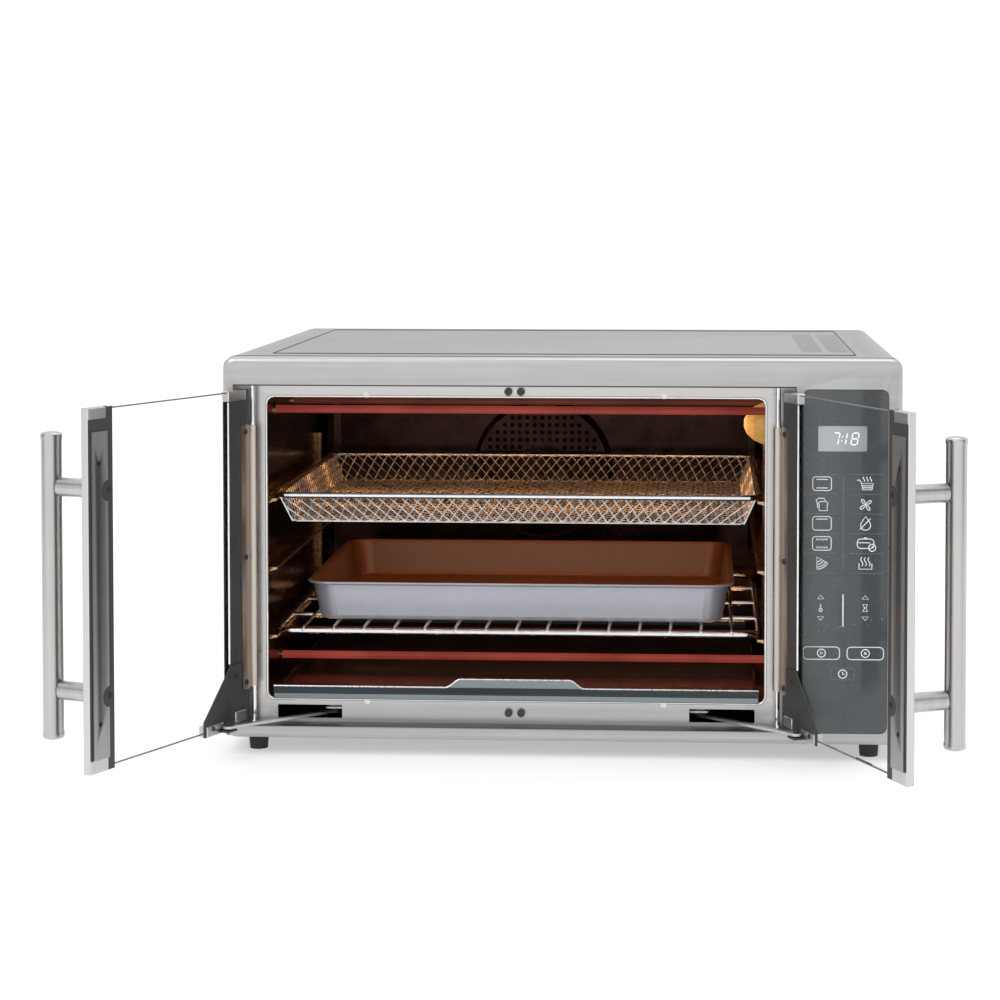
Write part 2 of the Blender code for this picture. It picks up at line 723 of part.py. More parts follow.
def door_link(door_frame, side, name):
    """Flat link from the door foot back through the slot; its frame is on its door pivot."""
    frame = empty(name + "_pivot", door_frame, (-side * PIVOT_U, PIVOT_V, 0.0), 0.0)
    direction = OPEN_ANGLE + LINK_OPEN_ANGLE
    along = (math.cos(direction), math.sin(direction))
    across = (-along[1], along[0])
    half = 0.0030
    outline = []
    for centre, start in ((0.0, 90), (LINK_LENGTH, -90)):
        for step in range(9):
            angle = math.radians(start + 180 * step / 8)
            a = centre + 0.0045 * math.cos(angle)
            c = 0.0045 * math.sin(angle)
            outline.append((along[0] * a + across[0] * c, along[1] * a + across[1] * c))
        a = centre + (0.008 if centre == 0.0 else -0.008)
        flank = -half if centre == 0.0 else half
        outline.append((along[0] * a + across[0] * flank, along[1] * a + across[1] * flank))
        outline.append(
            (
                along[0] * (LINK_LENGTH - a) + across[0] * flank,
                along[1] * (LINK_LENGTH - a) + across[1] * flank,
            )
        )
    far = (along[0] * LINK_LENGTH, along[1] * LINK_LENGTH)
    holes = [circle((0, 0), PIVOT_RADIUS + 0.0004, 12), circle(far, PIVOT_RADIUS + 0.0004, 12)]
    bm = plate("z", LINK_LOW, LINK_HIGH, outline, holes)
    return node(name, mirrored(bm, side), "chrome_wire", frame)


def sync_bar(oven):
    """Cross bar under the cavity that both links push, so that the doors move together."""
    frame = empty("sync_bar_slide", oven, (0, 0.0350, 0))
    low, high = (-0.168, 0.0), (0.168, 0.014)
    holes = [
        rounded((-0.166, 0.0045), (-0.132, 0.0095), 0.002, 2),
        rounded((0.132, 0.0045), (0.166, 0.0095), 0.002, 2),
    ]
    bm = plate("z", 0.0190, 0.0205, rounded(low, high, 0.004, 3), holes)
    return node("sync_bar", bm, "chrome_wire", frame)


# ---- racks and trays -----------------------------------------------------------------------------
def wire_rack(oven):
    """Welded rack: a frame loop, three cross bars and fifteen wires laid on them."""
    frame = empty("wire_rack_slide", oven, (0, 0, LEDGE_TOPS[0] + GAP))
    rim = 0.0025
    half = 0.2108
    front, back = 0.0400, 0.3800
    bm = wire_loop((-half, front), (half, back), 0.014, rim, rim)
    bars = bmesh.new()
    for y in (0.125, 0.210, 0.295):
        rod("x", (y, rim + 0.0001), -half, half, 0.0021, 8, bars)
    bm = union(bm, bars)
    wires = bmesh.new()
    for number in range(-7, 8):
        rod("y", (number * 0.0267, 2 * rim + 0.0005), front + 0.0004, back - 0.0004, 0.0015, 6, wires)
    return node("wire_rack", union(bm, wires), "chrome_wire", frame)


def air_fry_basket(oven):
    """A rim wire that rests on the top ledges and a mesh tray inside it."""
    frame = empty("air_fry_basket_slide", oven, (0, 0, LEDGE_TOPS[2] + GAP))
    rim = 0.0025
    low, high = (-0.2110, 0.0350), (0.2110, 0.3780)
    node("basket_rim", wire_loop(low, high, 0.014, rim, rim), "chrome_wire", frame)
    inset = rim + GAP
    mesh_tray = tray(*grow(low, high, -inset), -0.0223, 0.0030, 0.0110, 0.0010, flare=0.0100)
    node("basket_mesh", mesh_tray, "chrome_wire", frame)


def baking_pan(rack_frame):
    """Drawn pan with a flat lip, standing on the wires of the rack."""
    frame = empty("baking_pan_rest", rack_frame, (0, 0, 0.0073))
    bm = tray((-0.1890, 0.0600), (0.1890, 0.3400), 0.0, 0.0350, 0.0140, 0.0010, flare=0.0060, lip=0.0040)
    return node("baking_pan", bm, "pan_coating", frame)


def crumb_tray(oven):
    """Shallow tray under the lower heaters, with a front flange and a raised grip."""
    frame = empty("crumb_tray_slide", oven, (0, 0, 0))
    floor = MOUTH_LOW + GAP
    bm = tray((-0.2080, FRAME_FRONT - 0.0010), (0.2080, 0.4000), floor, floor + 0.0060, 0.0040, 0.0010)
    front = FRAME_FRONT - GAP - 0.0012
    outline = [(-0.2098, floor - 0.0010), (0.2098, floor - 0.0010), (0.2098, 0.0420), (0.0600, 0.0420)]
    outline += [(0.0540, 0.0500), (-0.0540, 0.0500), (-0.0600, 0.0420), (-0.2098, 0.0420)]
    flange = plate("y", front, FRAME_FRONT - GAP, outline)
    return node("crumb_tray", union(bm, flange), "chrome_wire", frame)


# ---- assembly ------------------------------------------------------------------------------------
def build():
    for thing in list(bpy.data.objects):
        bpy.data.objects.remove(thing)
    oven = empty("oven", None, (0, -MIDDLE_Y, FOOT_HEIGHT))
    outer_wrap(oven)
    front_bezel(oven)
    inner_frame(oven)
    cavity_liner(oven)
    base_plate(oven)
    rear_cover(oven)
    motor_cover(oven)
    feet(oven)
    rack_support(oven, -1, "rack_support_left")
    rack_support(oven, 1, "rack_support_right")
    heaters(oven)
    fan_cover(oven)
    convection_fan(empty("fan_axis", oven, (0, 0, FAN_Z)))
    fan_motor(oven)
    oven_lamp(oven)
    control_panel(oven)
    cord_gland(oven)
    magnets(oven)
    for side, name in ((-1, "left"), (1, "right")):
        hinge_pin(oven, side, name)
        door_frame = door(oven, side, name + "_door")
        door_link(door_frame, side, name + "_door_link")
    sync_bar(oven)
    wire_rack(oven)
    air_fry_basket(oven)
    baking_pan(bpy.data.objects["wire_rack_slide"])
    crumb_tray(oven)


build()
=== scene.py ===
import math
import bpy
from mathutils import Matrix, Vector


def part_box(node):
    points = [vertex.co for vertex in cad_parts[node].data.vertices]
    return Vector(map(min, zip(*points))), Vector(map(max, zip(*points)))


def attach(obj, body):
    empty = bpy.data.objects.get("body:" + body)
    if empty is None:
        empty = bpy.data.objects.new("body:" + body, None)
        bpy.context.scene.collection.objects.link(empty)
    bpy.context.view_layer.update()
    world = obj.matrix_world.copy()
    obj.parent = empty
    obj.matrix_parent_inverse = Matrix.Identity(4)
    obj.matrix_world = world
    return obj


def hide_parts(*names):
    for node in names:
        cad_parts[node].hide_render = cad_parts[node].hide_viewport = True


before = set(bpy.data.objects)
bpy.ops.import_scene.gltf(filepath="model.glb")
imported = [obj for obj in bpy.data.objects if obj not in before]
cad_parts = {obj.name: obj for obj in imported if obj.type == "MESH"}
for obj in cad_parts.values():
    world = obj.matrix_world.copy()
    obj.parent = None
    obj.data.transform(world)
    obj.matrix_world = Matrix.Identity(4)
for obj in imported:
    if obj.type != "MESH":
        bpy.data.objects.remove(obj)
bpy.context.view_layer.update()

from fnmatch import fnmatchcase

import bmesh
import bpy
from mathutils import Matrix, Vector

MM = 0.001
TINY = 0.0001

# Oven coordinates: x right from the line where the doors meet, y back from the bezel face,
# z up from the lower edge of the body. All lengths are in metres.
BODY_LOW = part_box("outer_wrap")[0].z
FACE_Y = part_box("front_bezel")[0].y
OPEN_ANGLE = math.radians(114)
DOOR_EDGE = 0.2243
DOOR_LOW = 0.0110
DOOR_HIGH = 0.3000
GLASS_PLANE = -0.0060
STILE_HALF = 0.00325
POST_HEIGHTS = (0.0697, 0.2335)
HANDLE_U = 0.1970
FAN_Z = 0.1900
RECESS_HALF = 0.2403
RECESS_LOW = 0.0103
RECESS_HIGH = 0.3042
MOUTH_HALF = 0.2142
MOUTH_LOW = 0.0312
MOUTH_HIGH = 0.2924
MOUTH_PLANE = 0.0199
BACK_PLANE = 0.4450
CAVITY_HALF = 0.2243
LEDGE_HALF = 0.2232
LEDGE_TOPS = (0.0835, 0.1430, 0.2030)
TRAY_HALF = 0.2094
PANEL_SINK = 0.0008
SEAM_WIRE = 0.0007

# A face of at least this area and width is shaded flat.
WIDE_FACE_AREA = 0.0001
WIDE_FACE_WIDTH = 0.0055


def spot(x, y, z):
    """Oven coordinates to the shared frame."""
    return Vector((x, FACE_Y + y, BODY_LOW + z))


def middle_of(node):
    """Middle of a CAD node's box."""
    low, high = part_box(node)
    return (low + high) / 2


# ---- node helpers --------------------------------------------------------------------------------
# The range that a noise pattern mostly keeps to, and that of Pointiness from a flat place to an edge.
NOISE_RANGE = (0.3, 0.7)
EDGE_RANGE = (0.52, 0.60)
STAIN_SHARE = 0.22
RELIEF_DEPTH = 0.0004


def put(tree, kind, sockets=None, **settings):
    """Add a node; sockets holds values, or other nodes' outputs to link."""
    node = tree.nodes.new(kind)
    for key, value in settings.items():
        setattr(node, key, value)
    for key, value in (sockets or {}).items():
        if isinstance(value, bpy.types.NodeSocket):
            tree.links.new(value, node.inputs[key])
        else:
            node.inputs[key].default_value = value
    return node


def math_of(tree, operation, first, second=0.0):
    """Result of one arithmetic node."""
    return put(tree, "ShaderNodeMath", {0: first, 1: second}, operation=operation).outputs[0]


def place_of(tree):
    """Object coordinates of the point that is shaded."""
    return put(tree, "ShaderNodeTexCoord").outputs["Object"]


def blend_of(tree, amount, low, high):
    """Colour that goes from low to high with amount."""
    node = put(tree, "ShaderNodeValToRGB", {"Fac": amount})
    for element, colour, position in zip(node.color_ramp.elements, (low, high), NOISE_RANGE):
        element.color = (*colour, 1.0)
        element.position = position
    return node.outputs["Color"]


def span_of(tree, amount, low, high, given=NOISE_RANGE):
    """Number that goes from low to high as amount goes over its given range."""
    sockets = {"Value": amount, "From Min": given[0], "From Max": given[1], "To Min": low, "To Max": high}
    return put(tree, "ShaderNodeMapRange", sockets).outputs["Result"]


def mixed(tree, amount, first, second):
    """Colour between two colours, either of which may be a socket."""
    node = put(tree, "ShaderNodeMix", data_type="RGBA")
    for key, value in ((0, amount), (6, first), (7, second)):
        if isinstance(value, bpy.types.NodeSocket):
            tree.links.new(value, node.inputs[key])
        else:
            node.inputs[key].default_value = value if key == 0 else (*value, 1.0)
    return node.outputs[2]


def grained(
    name, dark, light, gloss, grain, relief=0.1, metal=0.0, wear_and_glint=0.0, worn_and_glint=(0.8, 0.8, 0.8), smudge=14.0
):
    """A finish whose colour, gloss and relief follow a grain.

    grain is the pattern's scale on each axis, and smudge the scale of broad stains; the share and colour
    of the edges give real wear on most finishes and painted glints on the rail finish.
    """
    made = bpy.data.materials.new(name)
    made.use_nodes = True
    tree = made.node_tree
    shader = tree.nodes["Principled BSDF"]
    where = place_of(tree)
    stretched = put(tree, "ShaderNodeMapping", {"Vector": where, "Scale": grain}).outputs["Vector"]
    octaves = {"Vector": stretched, "Scale": 1.0, "Detail": 6.0, "Roughness": 0.68}
    fine = put(tree, "ShaderNodeTexNoise", octaves).outputs["Fac"]
    stains = {"Vector": where, "Scale": smudge, "Detail": 3.0}
    broad = put(tree, "ShaderNodeTexNoise", stains).outputs["Fac"]
    both = put(tree, "ShaderNodeMix", {0: STAIN_SHARE, 2: fine, 3: broad}, data_type="FLOAT").outputs[0]
    colour = blend_of(tree, both, dark, light)
    if wear_and_glint:
        # Paler edges: real wear on most finishes, painted glints on the rail finish.
        edge = put(tree, "ShaderNodeNewGeometry").outputs["Pointiness"]
        rub_and_glint = span_of(tree, edge, 0.0, wear_and_glint, EDGE_RANGE)
        colour = mixed(tree, rub_and_glint, colour, worn_and_glint)
    tree.links.new(colour, shader.inputs["Base Color"])
    tree.links.new(span_of(tree, both, *gloss), shader.inputs["Roughness"])
    bump = put(tree, "ShaderNodeBump", {"Strength": relief, "Distance": RELIEF_DEPTH, "Height": fine})
    tree.links.new(bump.outputs["Normal"], shader.inputs["Normal"])
    shader.inputs["Metallic"].default_value = metal
    return made


def paler_towards(made, start, end, pale):
    """Let a finish's colour go from pale, where x is start, to its own colour, where x is end."""
    tree = made.node_tree
    shader = tree.nodes["Principled BSDF"]
    own = shader.inputs["Base Color"].links[0].from_socket
    across = put(tree, "ShaderNodeSeparateXYZ", {"Vector": place_of(tree)}).outputs["X"]
    amount = span_of(tree, across, 0.0, 1.0, (start, end))
    tree.links.new(mixed(tree, amount, pale, own), shader.inputs["Base Color"])


# ---- finishes of this oven -----------------------------------------------------------------------
ALONG = {"x": (2.4, 150.0, 150.0), "y": (150.0, 2.4, 150.0), "z": (150.0, 150.0, 2.4)}


def brushed_steel(name, along):
    """Cabinet steel with its brushing along one axis and its edges paled by use."""
    return grained(
        name, dark=(0.37, 0.365, 0.36), light=(0.50, 0.495, 0.49),
        gloss=(0.26, 0.38), grain=ALONG[along], relief=0.14, metal=1.0,
        wear_and_glint=0.5, worn_and_glint=(0.75, 0.75, 0.74),
    )


def polished_bar():
    """Handle tube, turned and polished along its length."""
    return grained(
        "polished_bar", dark=(0.43, 0.425, 0.42), light=(0.57, 0.565, 0.56),
        gloss=(0.27, 0.38), grain=ALONG["z"], relief=0.08, metal=1.0,
    )


def polished_edge():
    """Bright steel of rolled edges, beads and hinge pins."""
    return grained(
        "polished_edge", dark=(0.78, 0.77, 0.75), light=(0.92, 0.92, 0.90),
        gloss=(0.10, 0.20), grain=(90.0,) * 3, relief=0.03, metal=1.0,
    )


def stiffener_steel():
    """Dull grey strip steel of the plates inside the doors."""
    return grained(
        "stiffener_steel", dark=(0.098, 0.104, 0.110), light=(0.165, 0.174, 0.182),
        gloss=(0.36, 0.50), grain=ALONG["z"], relief=0.1, metal=1.0, wear_and_glint=0.4,
    )


def clip_steel():
    """Grey steel of the corner clips, the door links and the bar between them."""
    return grained(
        "clip_steel", dark=(0.20, 0.205, 0.21), light=(0.32, 0.33, 0.335),
        gloss=(0.30, 0.44), grain=(240.0,) * 3, relief=0.08, metal=1.0, wear_and_glint=0.6,
    )


def hinge_glow_reflection():
    """Hinge strip painted amber-bronze: a painted reflection of the cavity's glow."""
    return grained(
        "hinge_glow_reflection", dark=(0.20, 0.115, 0.045), light=(0.31, 0.19, 0.085),
        gloss=(0.30, 0.44), grain=ALONG["z"], relief=0.08, metal=1.0, wear_and_glint=0.5,
    )


def rack_chrome():
    """Plated wire of the rack and of the basket's rims."""
    return grained(
        "rack_chrome", dark=(0.62, 0.63, 0.66), light=(0.82, 0.83, 0.85),
        gloss=(0.12, 0.24), grain=(160.0,) * 3, relief=0.03, metal=1.0,
    )


def mesh_wire():
    """Thin plated wire, a little paler than the rack's; also the trim of the tray."""
    return grained(
        "mesh_wire", dark=(0.66, 0.66, 0.67), light=(0.84, 0.84, 0.85),
        gloss=(0.22, 0.34), grain=(160.0,) * 3, relief=0.03, metal=0.72,
    )


def cavity_steel_painted_shade():
    """Cavity steel with faint stains, warm in tone and painted near black as the shade inside the cavity.
    """
    return grained(
        "cavity_steel_painted_shade", dark=(0.009, 0.005, 0.005), light=(0.040, 0.020, 0.014),
        gloss=(0.14, 0.30), grain=(55.0, 9.0, 55.0), relief=0.03, metal=1.0, smudge=22.0,
    )


def rail_steel_painted_glint():
    """Rack ledges, brighter than the walls: painted bright amber as a painted highlight of the heaters'
    glow, with paler amber painted glints on their edges.
    """
    return grained(
        "rail_steel_painted_glint", dark=(0.20, 0.095, 0.040), light=(0.46, 0.25, 0.11),
        gloss=(0.18, 0.34), grain=ALONG["y"], relief=0.06, metal=1.0, wear_and_glint=0.6, worn_and_glint=(0.75, 0.55, 0.35),
    )


def tray_enamel():
    """Blue-black glossy steel of the crumb tray."""
    return grained(
        "tray_enamel", dark=(0.020, 0.025, 0.029), light=(0.050, 0.060, 0.066),
        gloss=(0.14, 0.26), grain=ALONG["x"], relief=0.04, metal=0.8,
    )


def grip_enamel():
    """Paler face of the crumb tray's grip."""
    return grained(
        "grip_enamel", dark=(0.15, 0.18, 0.19), light=(0.24, 0.28, 0.29),
        gloss=(0.24, 0.36), grain=ALONG["x"], relief=0.04, metal=0.8,
    )


def black_enamel():
    """Baked black paint with a faint orange peel and little shine."""
    made = grained(
        "black_enamel", dark=(0.012, 0.012, 0.013), light=(0.024, 0.024, 0.026),
        gloss=(0.38, 0.54), grain=(420.0,) * 3, relief=0.10, wear_and_glint=0.25, worn_and_glint=(0.13, 0.13, 0.13),
    )
    made.node_tree.nodes["Principled BSDF"].inputs["Specular IOR Level"].default_value = 0.28
    return made


def shaded_steel():
    """Steel at the floor of the door recess and in the seams, dark: painted shade on the recess floor,
    dark joints in the seams.
    """
    return grained(
        "shaded_steel", dark=(0.055, 0.055, 0.056), light=(0.105, 0.105, 0.106),
        gloss=(0.34, 0.46), grain=ALONG["x"], relief=0.06, metal=0.9,
    )


def foot_rubber():
    """Matt rubber of the feet and the lead's gland."""
    return grained(
        "foot_rubber", dark=(0.012, 0.012, 0.012), light=(0.028, 0.027, 0.026),
        gloss=(0.62, 0.82), grain=(900.0,) * 3, relief=0.25,
    )


def zinc_screw():
    """Plated heads of the cabinet's screws."""
    return grained(
        "zinc_screw", dark=(0.55, 0.54, 0.50), light=(0.78, 0.77, 0.73),
        gloss=(0.20, 0.36), grain=(700.0,) * 3, relief=0.08, metal=1.0,
    )


def pan_outside():
    """Pale speckled coating of the pan's outer side."""
    return grained(
        "pan_outside", dark=(0.36, 0.37, 0.41), light=(0.50, 0.51, 0.56),
        gloss=(0.30, 0.42), grain=(1100.0,) * 3, relief=0.10, metal=0.45,
    )


def pan_inside():
    """Copper-brown non-stick coating."""
    return grained(
        "pan_inside", dark=(0.17, 0.065, 0.028), light=(0.27, 0.115, 0.052),
        gloss=(0.28, 0.42), grain=(1100.0,) * 3, relief=0.10, metal=0.5,
    )


def motor_housing():
    """Turned steel of the fan's motor."""
    return grained(
        "motor_housing", dark=(0.30, 0.30, 0.31), light=(0.46, 0.46, 0.47),
        gloss=(0.35, 0.5), grain=(0, 620.0, 620.0), relief=0.1, metal=1.0,
    )


def lamp_ceramic():
    """Glazed white holder of the lamp."""
    return grained(
        "lamp_ceramic", dark=(0.62, 0.60, 0.56), light=(0.76, 0.74, 0.70),
        gloss=(0.45, 0.62), grain=(500.0,) * 3, relief=0.12,
    )


def board_green():
    """Lacquer of the control board."""
    return grained(
        "board_green", dark=(0.01, 0.09, 0.035), light=(0.03, 0.20, 0.08),
        gloss=(0.30, 0.48), grain=(300.0, 10.0, 40.0), relief=0.15,
    )


def magnet_black():
    """Dark face of the door catches."""
    return grained(
        "magnet_black", dark=(0.02, 0.02, 0.021), light=(0.055, 0.055, 0.058),
        gloss=(0.28, 0.45), grain=(800.0,) * 3, relief=0.12, metal=0.4,
    )


def print_white():
    """Pale ink of the panel's marks."""
    return grained(
        "print_white", dark=(0.70, 0.71, 0.72), light=(0.86, 0.87, 0.88),
        gloss=(0.40, 0.55), grain=(900.0,) * 3, relief=0.04,
    )


def print_faint():
    """Thin grey rules between the panel's keys."""
    return grained(
        "print_faint", dark=(0.12, 0.13, 0.145), light=(0.15, 0.16, 0.175),
        gloss=(0.40, 0.55), grain=(900.0,) * 3, relief=0.04,
    )


def heated(name, low, high, strength, gloss):
    """A grained finish with a wandering glow."""
    made = grained(
        name, dark=[c * 0.25 for c in low], light=[c * 0.4 for c in high],
        gloss=gloss, grain=(30.0, 200.0, 200.0),
    )
    tree = made.node_tree
    shader = tree.nodes["Principled BSDF"]
    drift = {"Vector": place_of(tree), "Scale": 16.0, "Detail": 2.0}
    cloud = put(tree, "ShaderNodeTexNoise", drift).outputs["Fac"]
    tree.links.new(blend_of(tree, cloud, low, high), shader.inputs["Emission Color"])
    shader.inputs["Emission Strength"].default_value = strength
    return made


def glowing_sheath():
    """Heater sheath at a dull red."""
    return heated("glowing_sheath", (0.15, 0.019, 0.012), (0.29, 0.044, 0.030), 1.0, (0.4, 0.6))


def dull_sheath():
    """Sheath of the heaters further in, barely warm."""
    return heated("dull_sheath", (0.045, 0.008, 0.005), (0.085, 0.018, 0.010), 1.0, (0.4, 0.6))


def lit_glass():
    """Frosted lamp glass, lit."""
    return heated("lit_glass", (0.62, 0.32, 0.08), (0.85, 0.52, 0.18), 0.5, (0.2, 0.35))


def lit_digit():
    """Lit strokes of the clock."""
    return heated("lit_digit", (0.92, 0.95, 1.0), (1.0, 1.0, 1.0), 0.75, (0.3, 0.4))


def slate_glass():
    """Slate panel glass, a little paler towards the doors, under a glossy coat."""
    low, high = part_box("control_panel_glass")
    made = grained(
        "slate_glass", dark=(0.039, 0.044, 0.050), light=(0.046, 0.051, 0.058),
        gloss=(0.22, 0.30), grain=(700.0,) * 3, relief=0.006,
    )
    paler_towards(made, low.x, (low.x + high.x) / 2, (0.066, 0.072, 0.080))
    shader = made.node_tree.nodes["Principled BSDF"]
    shader.inputs["Coat Weight"].default_value = 0.6
    shader.inputs["Coat Roughness"].default_value = 0.06
    return made


def display_lens(left, right):
    """Grey display lens, paler at its left end."""
    made = grained(
        "display_lens", dark=(0.25, 0.26, 0.27), light=(0.30, 0.31, 0.32),
        gloss=(0.20, 0.30), grain=(500.0,) * 3, relief=0.02,
    )
    paler_towards(made, left, right, (0.46, 0.47, 0.49))
    return made


def clear_pane():
    """Clear door glass that lets lamplight through."""
    made = bpy.data.materials.new("clear_pane")
    made.use_nodes = True
    tree = made.node_tree
    shader = tree.nodes["Principled BSDF"]
    clouds = {"Vector": place_of(tree), "Scale": 11.0, "Detail": 4.0}
    haze = put(tree, "ShaderNodeTexNoise", clouds).outputs["Fac"]
    tint = blend_of(tree, haze, (0.93, 0.955, 0.95), (0.97, 0.985, 0.98))
    tree.links.new(tint, shader.inputs["Base Color"])
    tree.links.new(span_of(tree, haze, 0.0, 0.02), shader.inputs["Roughness"])
    shader.inputs["Transmission Weight"].default_value = 1.0
    shader.inputs["IOR"].default_value = 1.03
    rays = put(tree, "ShaderNodeLightPath").outputs
    passed = math_of(tree, "MAXIMUM", rays["Is Shadow Ray"], rays["Is Diffuse Ray"])
    through = put(tree, "ShaderNodeBsdfTransparent")
    choice = put(tree, "ShaderNodeMixShader", {"Fac": passed})
    tree.links.new(shader.outputs["BSDF"], choice.inputs[1])
    tree.links.new(through.outputs["BSDF"], choice.inputs[2])
    tree.links.new(choice.outputs["Shader"], tree.nodes["Material Output"].inputs["Surface"])
    return made


def pane_edge():
    """Ground edge of the door glass."""
    return grained(
        "pane_edge", dark=(0.09, 0.10, 0.10), light=(0.18, 0.19, 0.19),
        gloss=(0.25, 0.4), grain=(300.0,) * 3, relief=0.1,
    )


BEZEL_STEEL = brushed_steel("bezel_steel", "x")
WRAP_STEEL = brushed_steel("wrap_steel", "x")
SIDE_STEEL = brushed_steel("side_steel", "y")
DOOR_STEEL = brushed_steel("door_steel", "z")
BAR = polished_bar()
EDGE = polished_edge()
STIFFENER = stiffener_steel()
CLIP = clip_steel()
# The hinge finish is a painted reflection of the cavity's glow.
HINGE_GLOW = hinge_glow_reflection()
CHROME = rack_chrome()
MESH_WIRE = mesh_wire()
# The cavity finish is painted near black: painted shade inside the cavity.
CAVITY = cavity_steel_painted_shade()
# The rail finish carries a painted amber highlight and painted edge glints, on ledges, washers and lamp
# ring.
RAIL_GLINT = rail_steel_painted_glint()
TRAY = tray_enamel()
GRIP = grip_enamel()
BLACK = black_enamel()
SHADED = shaded_steel()
RUBBER = foot_rubber()
ZINC = zinc_screw()
MAGNET = magnet_black()
PALE_INK = print_white()
PANE = clear_pane()
PANE_EDGE = pane_edge()


# ---- mesh helpers --------------------------------------------------------------------------------
def placed(name, data, place=(0, 0, 0)):
    """A new object in the scene."""
    made = bpy.data.objects.new(name, data)
    bpy.context.collection.objects.link(made)
    made.location = place
    return made


def keep(name, mesh, finishes):
    """An object at the origin that carries a mesh and its finishes."""
    if mesh.materials:
        mesh.materials.clear()
    for finish in finishes:
        mesh.materials.append(finish)
    return placed(name, mesh)


def mesh_of(name, bm):
    """A mesh with a bmesh's shape; the bmesh is freed."""
    mesh = bpy.data.meshes.new(name)
    bm.to_mesh(mesh)
    bm.free()
    return mesh


def baked(piece):
    """Give a piece the plain mesh that its modifiers make, and remove them."""
    bpy.context.view_layer.update()
    seen = piece.evaluated_get(bpy.context.evaluated_depsgraph_get())
    result = bpy.data.meshes.new_from_object(seen)
    piece.modifiers.clear()
    piece.data = result
    return piece


def evened(piece):
    """Let wide flat faces keep their own direction, so that eased edges don't bend their shading."""
    mesh = piece.data
    for face in mesh.polygons:
        if face.area > WIDE_FACE_AREA:
            reach = max((mesh.vertices[a].co - mesh.vertices[b].co).length for a, b in face.edge_keys)
            face.use_smooth = face.area / reach < WIDE_FACE_WIDTH
    step = piece.modifiers.new("even", "WEIGHTED_NORMAL")
    step.keep_sharp = True
    step.weight = 100
    return baked(piece)


def crisp(piece, angle=35):
    """Smooth faces with crisp edges, where two faces meet at more than the angle."""
    piece.data.shade_smooth()
    piece.data.set_sharp_from_angle(angle=math.radians(angle))
    return evened(piece)


def solid(name, bm, finishes, place=None):
    """Move a bmesh into place, close it up and keep it as a piece with crisp edges."""
    if place is not None:
        bmesh.ops.transform(bm, matrix=place, verts=bm.verts)
    bmesh.ops.remove_doubles(bm, verts=bm.verts, dist=0.00001)
    bmesh.ops.recalc_face_normals(bm, faces=bm.faces)
    return crisp(keep(name, mesh_of(name, bm), finishes))


def fit(piece, body, slot, *nodes):
    """Say which body a piece rides on, and hide the CAD nodes it stands for; slot, its finish slot, is
    not used.
    """
    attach(piece, body)
    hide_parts(*nodes)
    return piece


def ease(low, high, radius, steps=6):
    """Outline of a rectangle with round corners, anticlockwise."""
    (x0, y0), (x1, y1) = low, high
    corners = ((x1, y0, -1, 1, -90), (x1, y1, -1, -1, 0), (x0, y1, 1, -1, 90), (x0, y0, 1, 1, 180))
    outline = []
    for x, y, inward_x, inward_y, start in corners:
        for step in range(steps + 1):
            angle = math.radians(start + 90 * step / steps)
            cx = x + inward_x * radius
            cy = y + inward_y * radius
            outline.append((cx + radius * math.cos(angle), cy + radius * math.sin(angle)))
    return outline


def disc(centre, radius, sides=16):
    """Outline of a circle."""
    turns = [2 * math.pi * i / sides for i in range(sides)]
    return [(centre[0] + radius * math.cos(a), centre[1] + radius * math.sin(a)) for a in turns]


def loop_of(outline):
    """A path that returns to where it starts."""
    return list(outline) + [outline[0]]


PLANES = {
    "x": lambda p, d: (d, p[0], p[1]),
    "y": lambda p, d: (p[0], d, p[1]),
    "z": lambda p, d: (p[0], p[1], d),
}


def skin(bm, first, second):
    """Faces between two rings of as many points."""
    for i in range(len(first)):
        j = (i + 1) % len(first)
        bm.faces.new((first[i], first[j], second[j], second[i]))


def sheet_of(axis, start, end, outline, holes=(), bm=None):
    """A flat plate of any outline with holes, extruded along an axis."""
    bm = bm or bmesh.new()
    for_fill = {start: [], end: []}
    for loop in (outline, *holes):
        rings = []
        for depth in (start, end):
            ring = [bm.verts.new(PLANES[axis](p, depth)) for p in loop]
            rings.append(ring)
        skin(bm, *rings)
        for depth, ring in zip((start, end), rings):
            for i, vert in enumerate(ring):
                following = ring[(i + 1) % len(ring)]
                edge = next(e for e in vert.link_edges if e.other_vert(vert) == following)
                for_fill[depth].append(edge)
    for edges in for_fill.values():
        bmesh.ops.triangle_fill(bm, use_beauty=True, edges=edges)
    return bm


def stacked(axis, levels, bm=None):
    """A skin through (outline, depth) levels, with a face on both ends."""
    bm = bm or bmesh.new()
    rings = [[bm.verts.new(PLANES[axis](p, depth)) for p in outline] for outline, depth in levels]
    for first, second in zip(rings, rings[1:]):
        skin(bm, first, second)
    bm.faces.new(list(reversed(rings[0])))
    bm.faces.new(rings[-1])
    return bm


def block(low, high, ease_by=0.0, bm=None):
    """A box between two corners, with its edges eased."""
    bm = bm or bmesh.new()
    sizes = [b - a for a, b in zip(low, high)]
    middle = [(a + b) / 2 for a, b in zip(low, high)]
    matrix = Matrix.Translation(middle) @ Matrix.Diagonal((*sizes, 1.0))
    made = bmesh.ops.create_cube(bm, size=1.0, matrix=matrix)
    if ease_by:
        edges = list({e for v in made["verts"] for e in v.link_edges})
        bmesh.ops.bevel(bm, geom=edges, offset=ease_by, segments=1, affect="EDGES")
    return bm


def bent(corners, radius, closed=False, steps=5):
    """A path through the corners, with each turn eased into a curve."""
    path = []
    count = len(corners)
    for i in range(count):
        here = Vector(corners[i])
        if not closed and i in (0, count - 1):
            path.append(here)
            continue
        back = (Vector(corners[i - 1]) - here).normalized() * radius
        ahead = (Vector(corners[(i + 1) % count]) - here).normalized() * radius
        for step in range(steps + 1):
            t = step / steps
            path.append(here + back * (1 - t) ** 2 + ahead * t ** 2)
    if closed:
        path.append(path[0].copy())
    return path


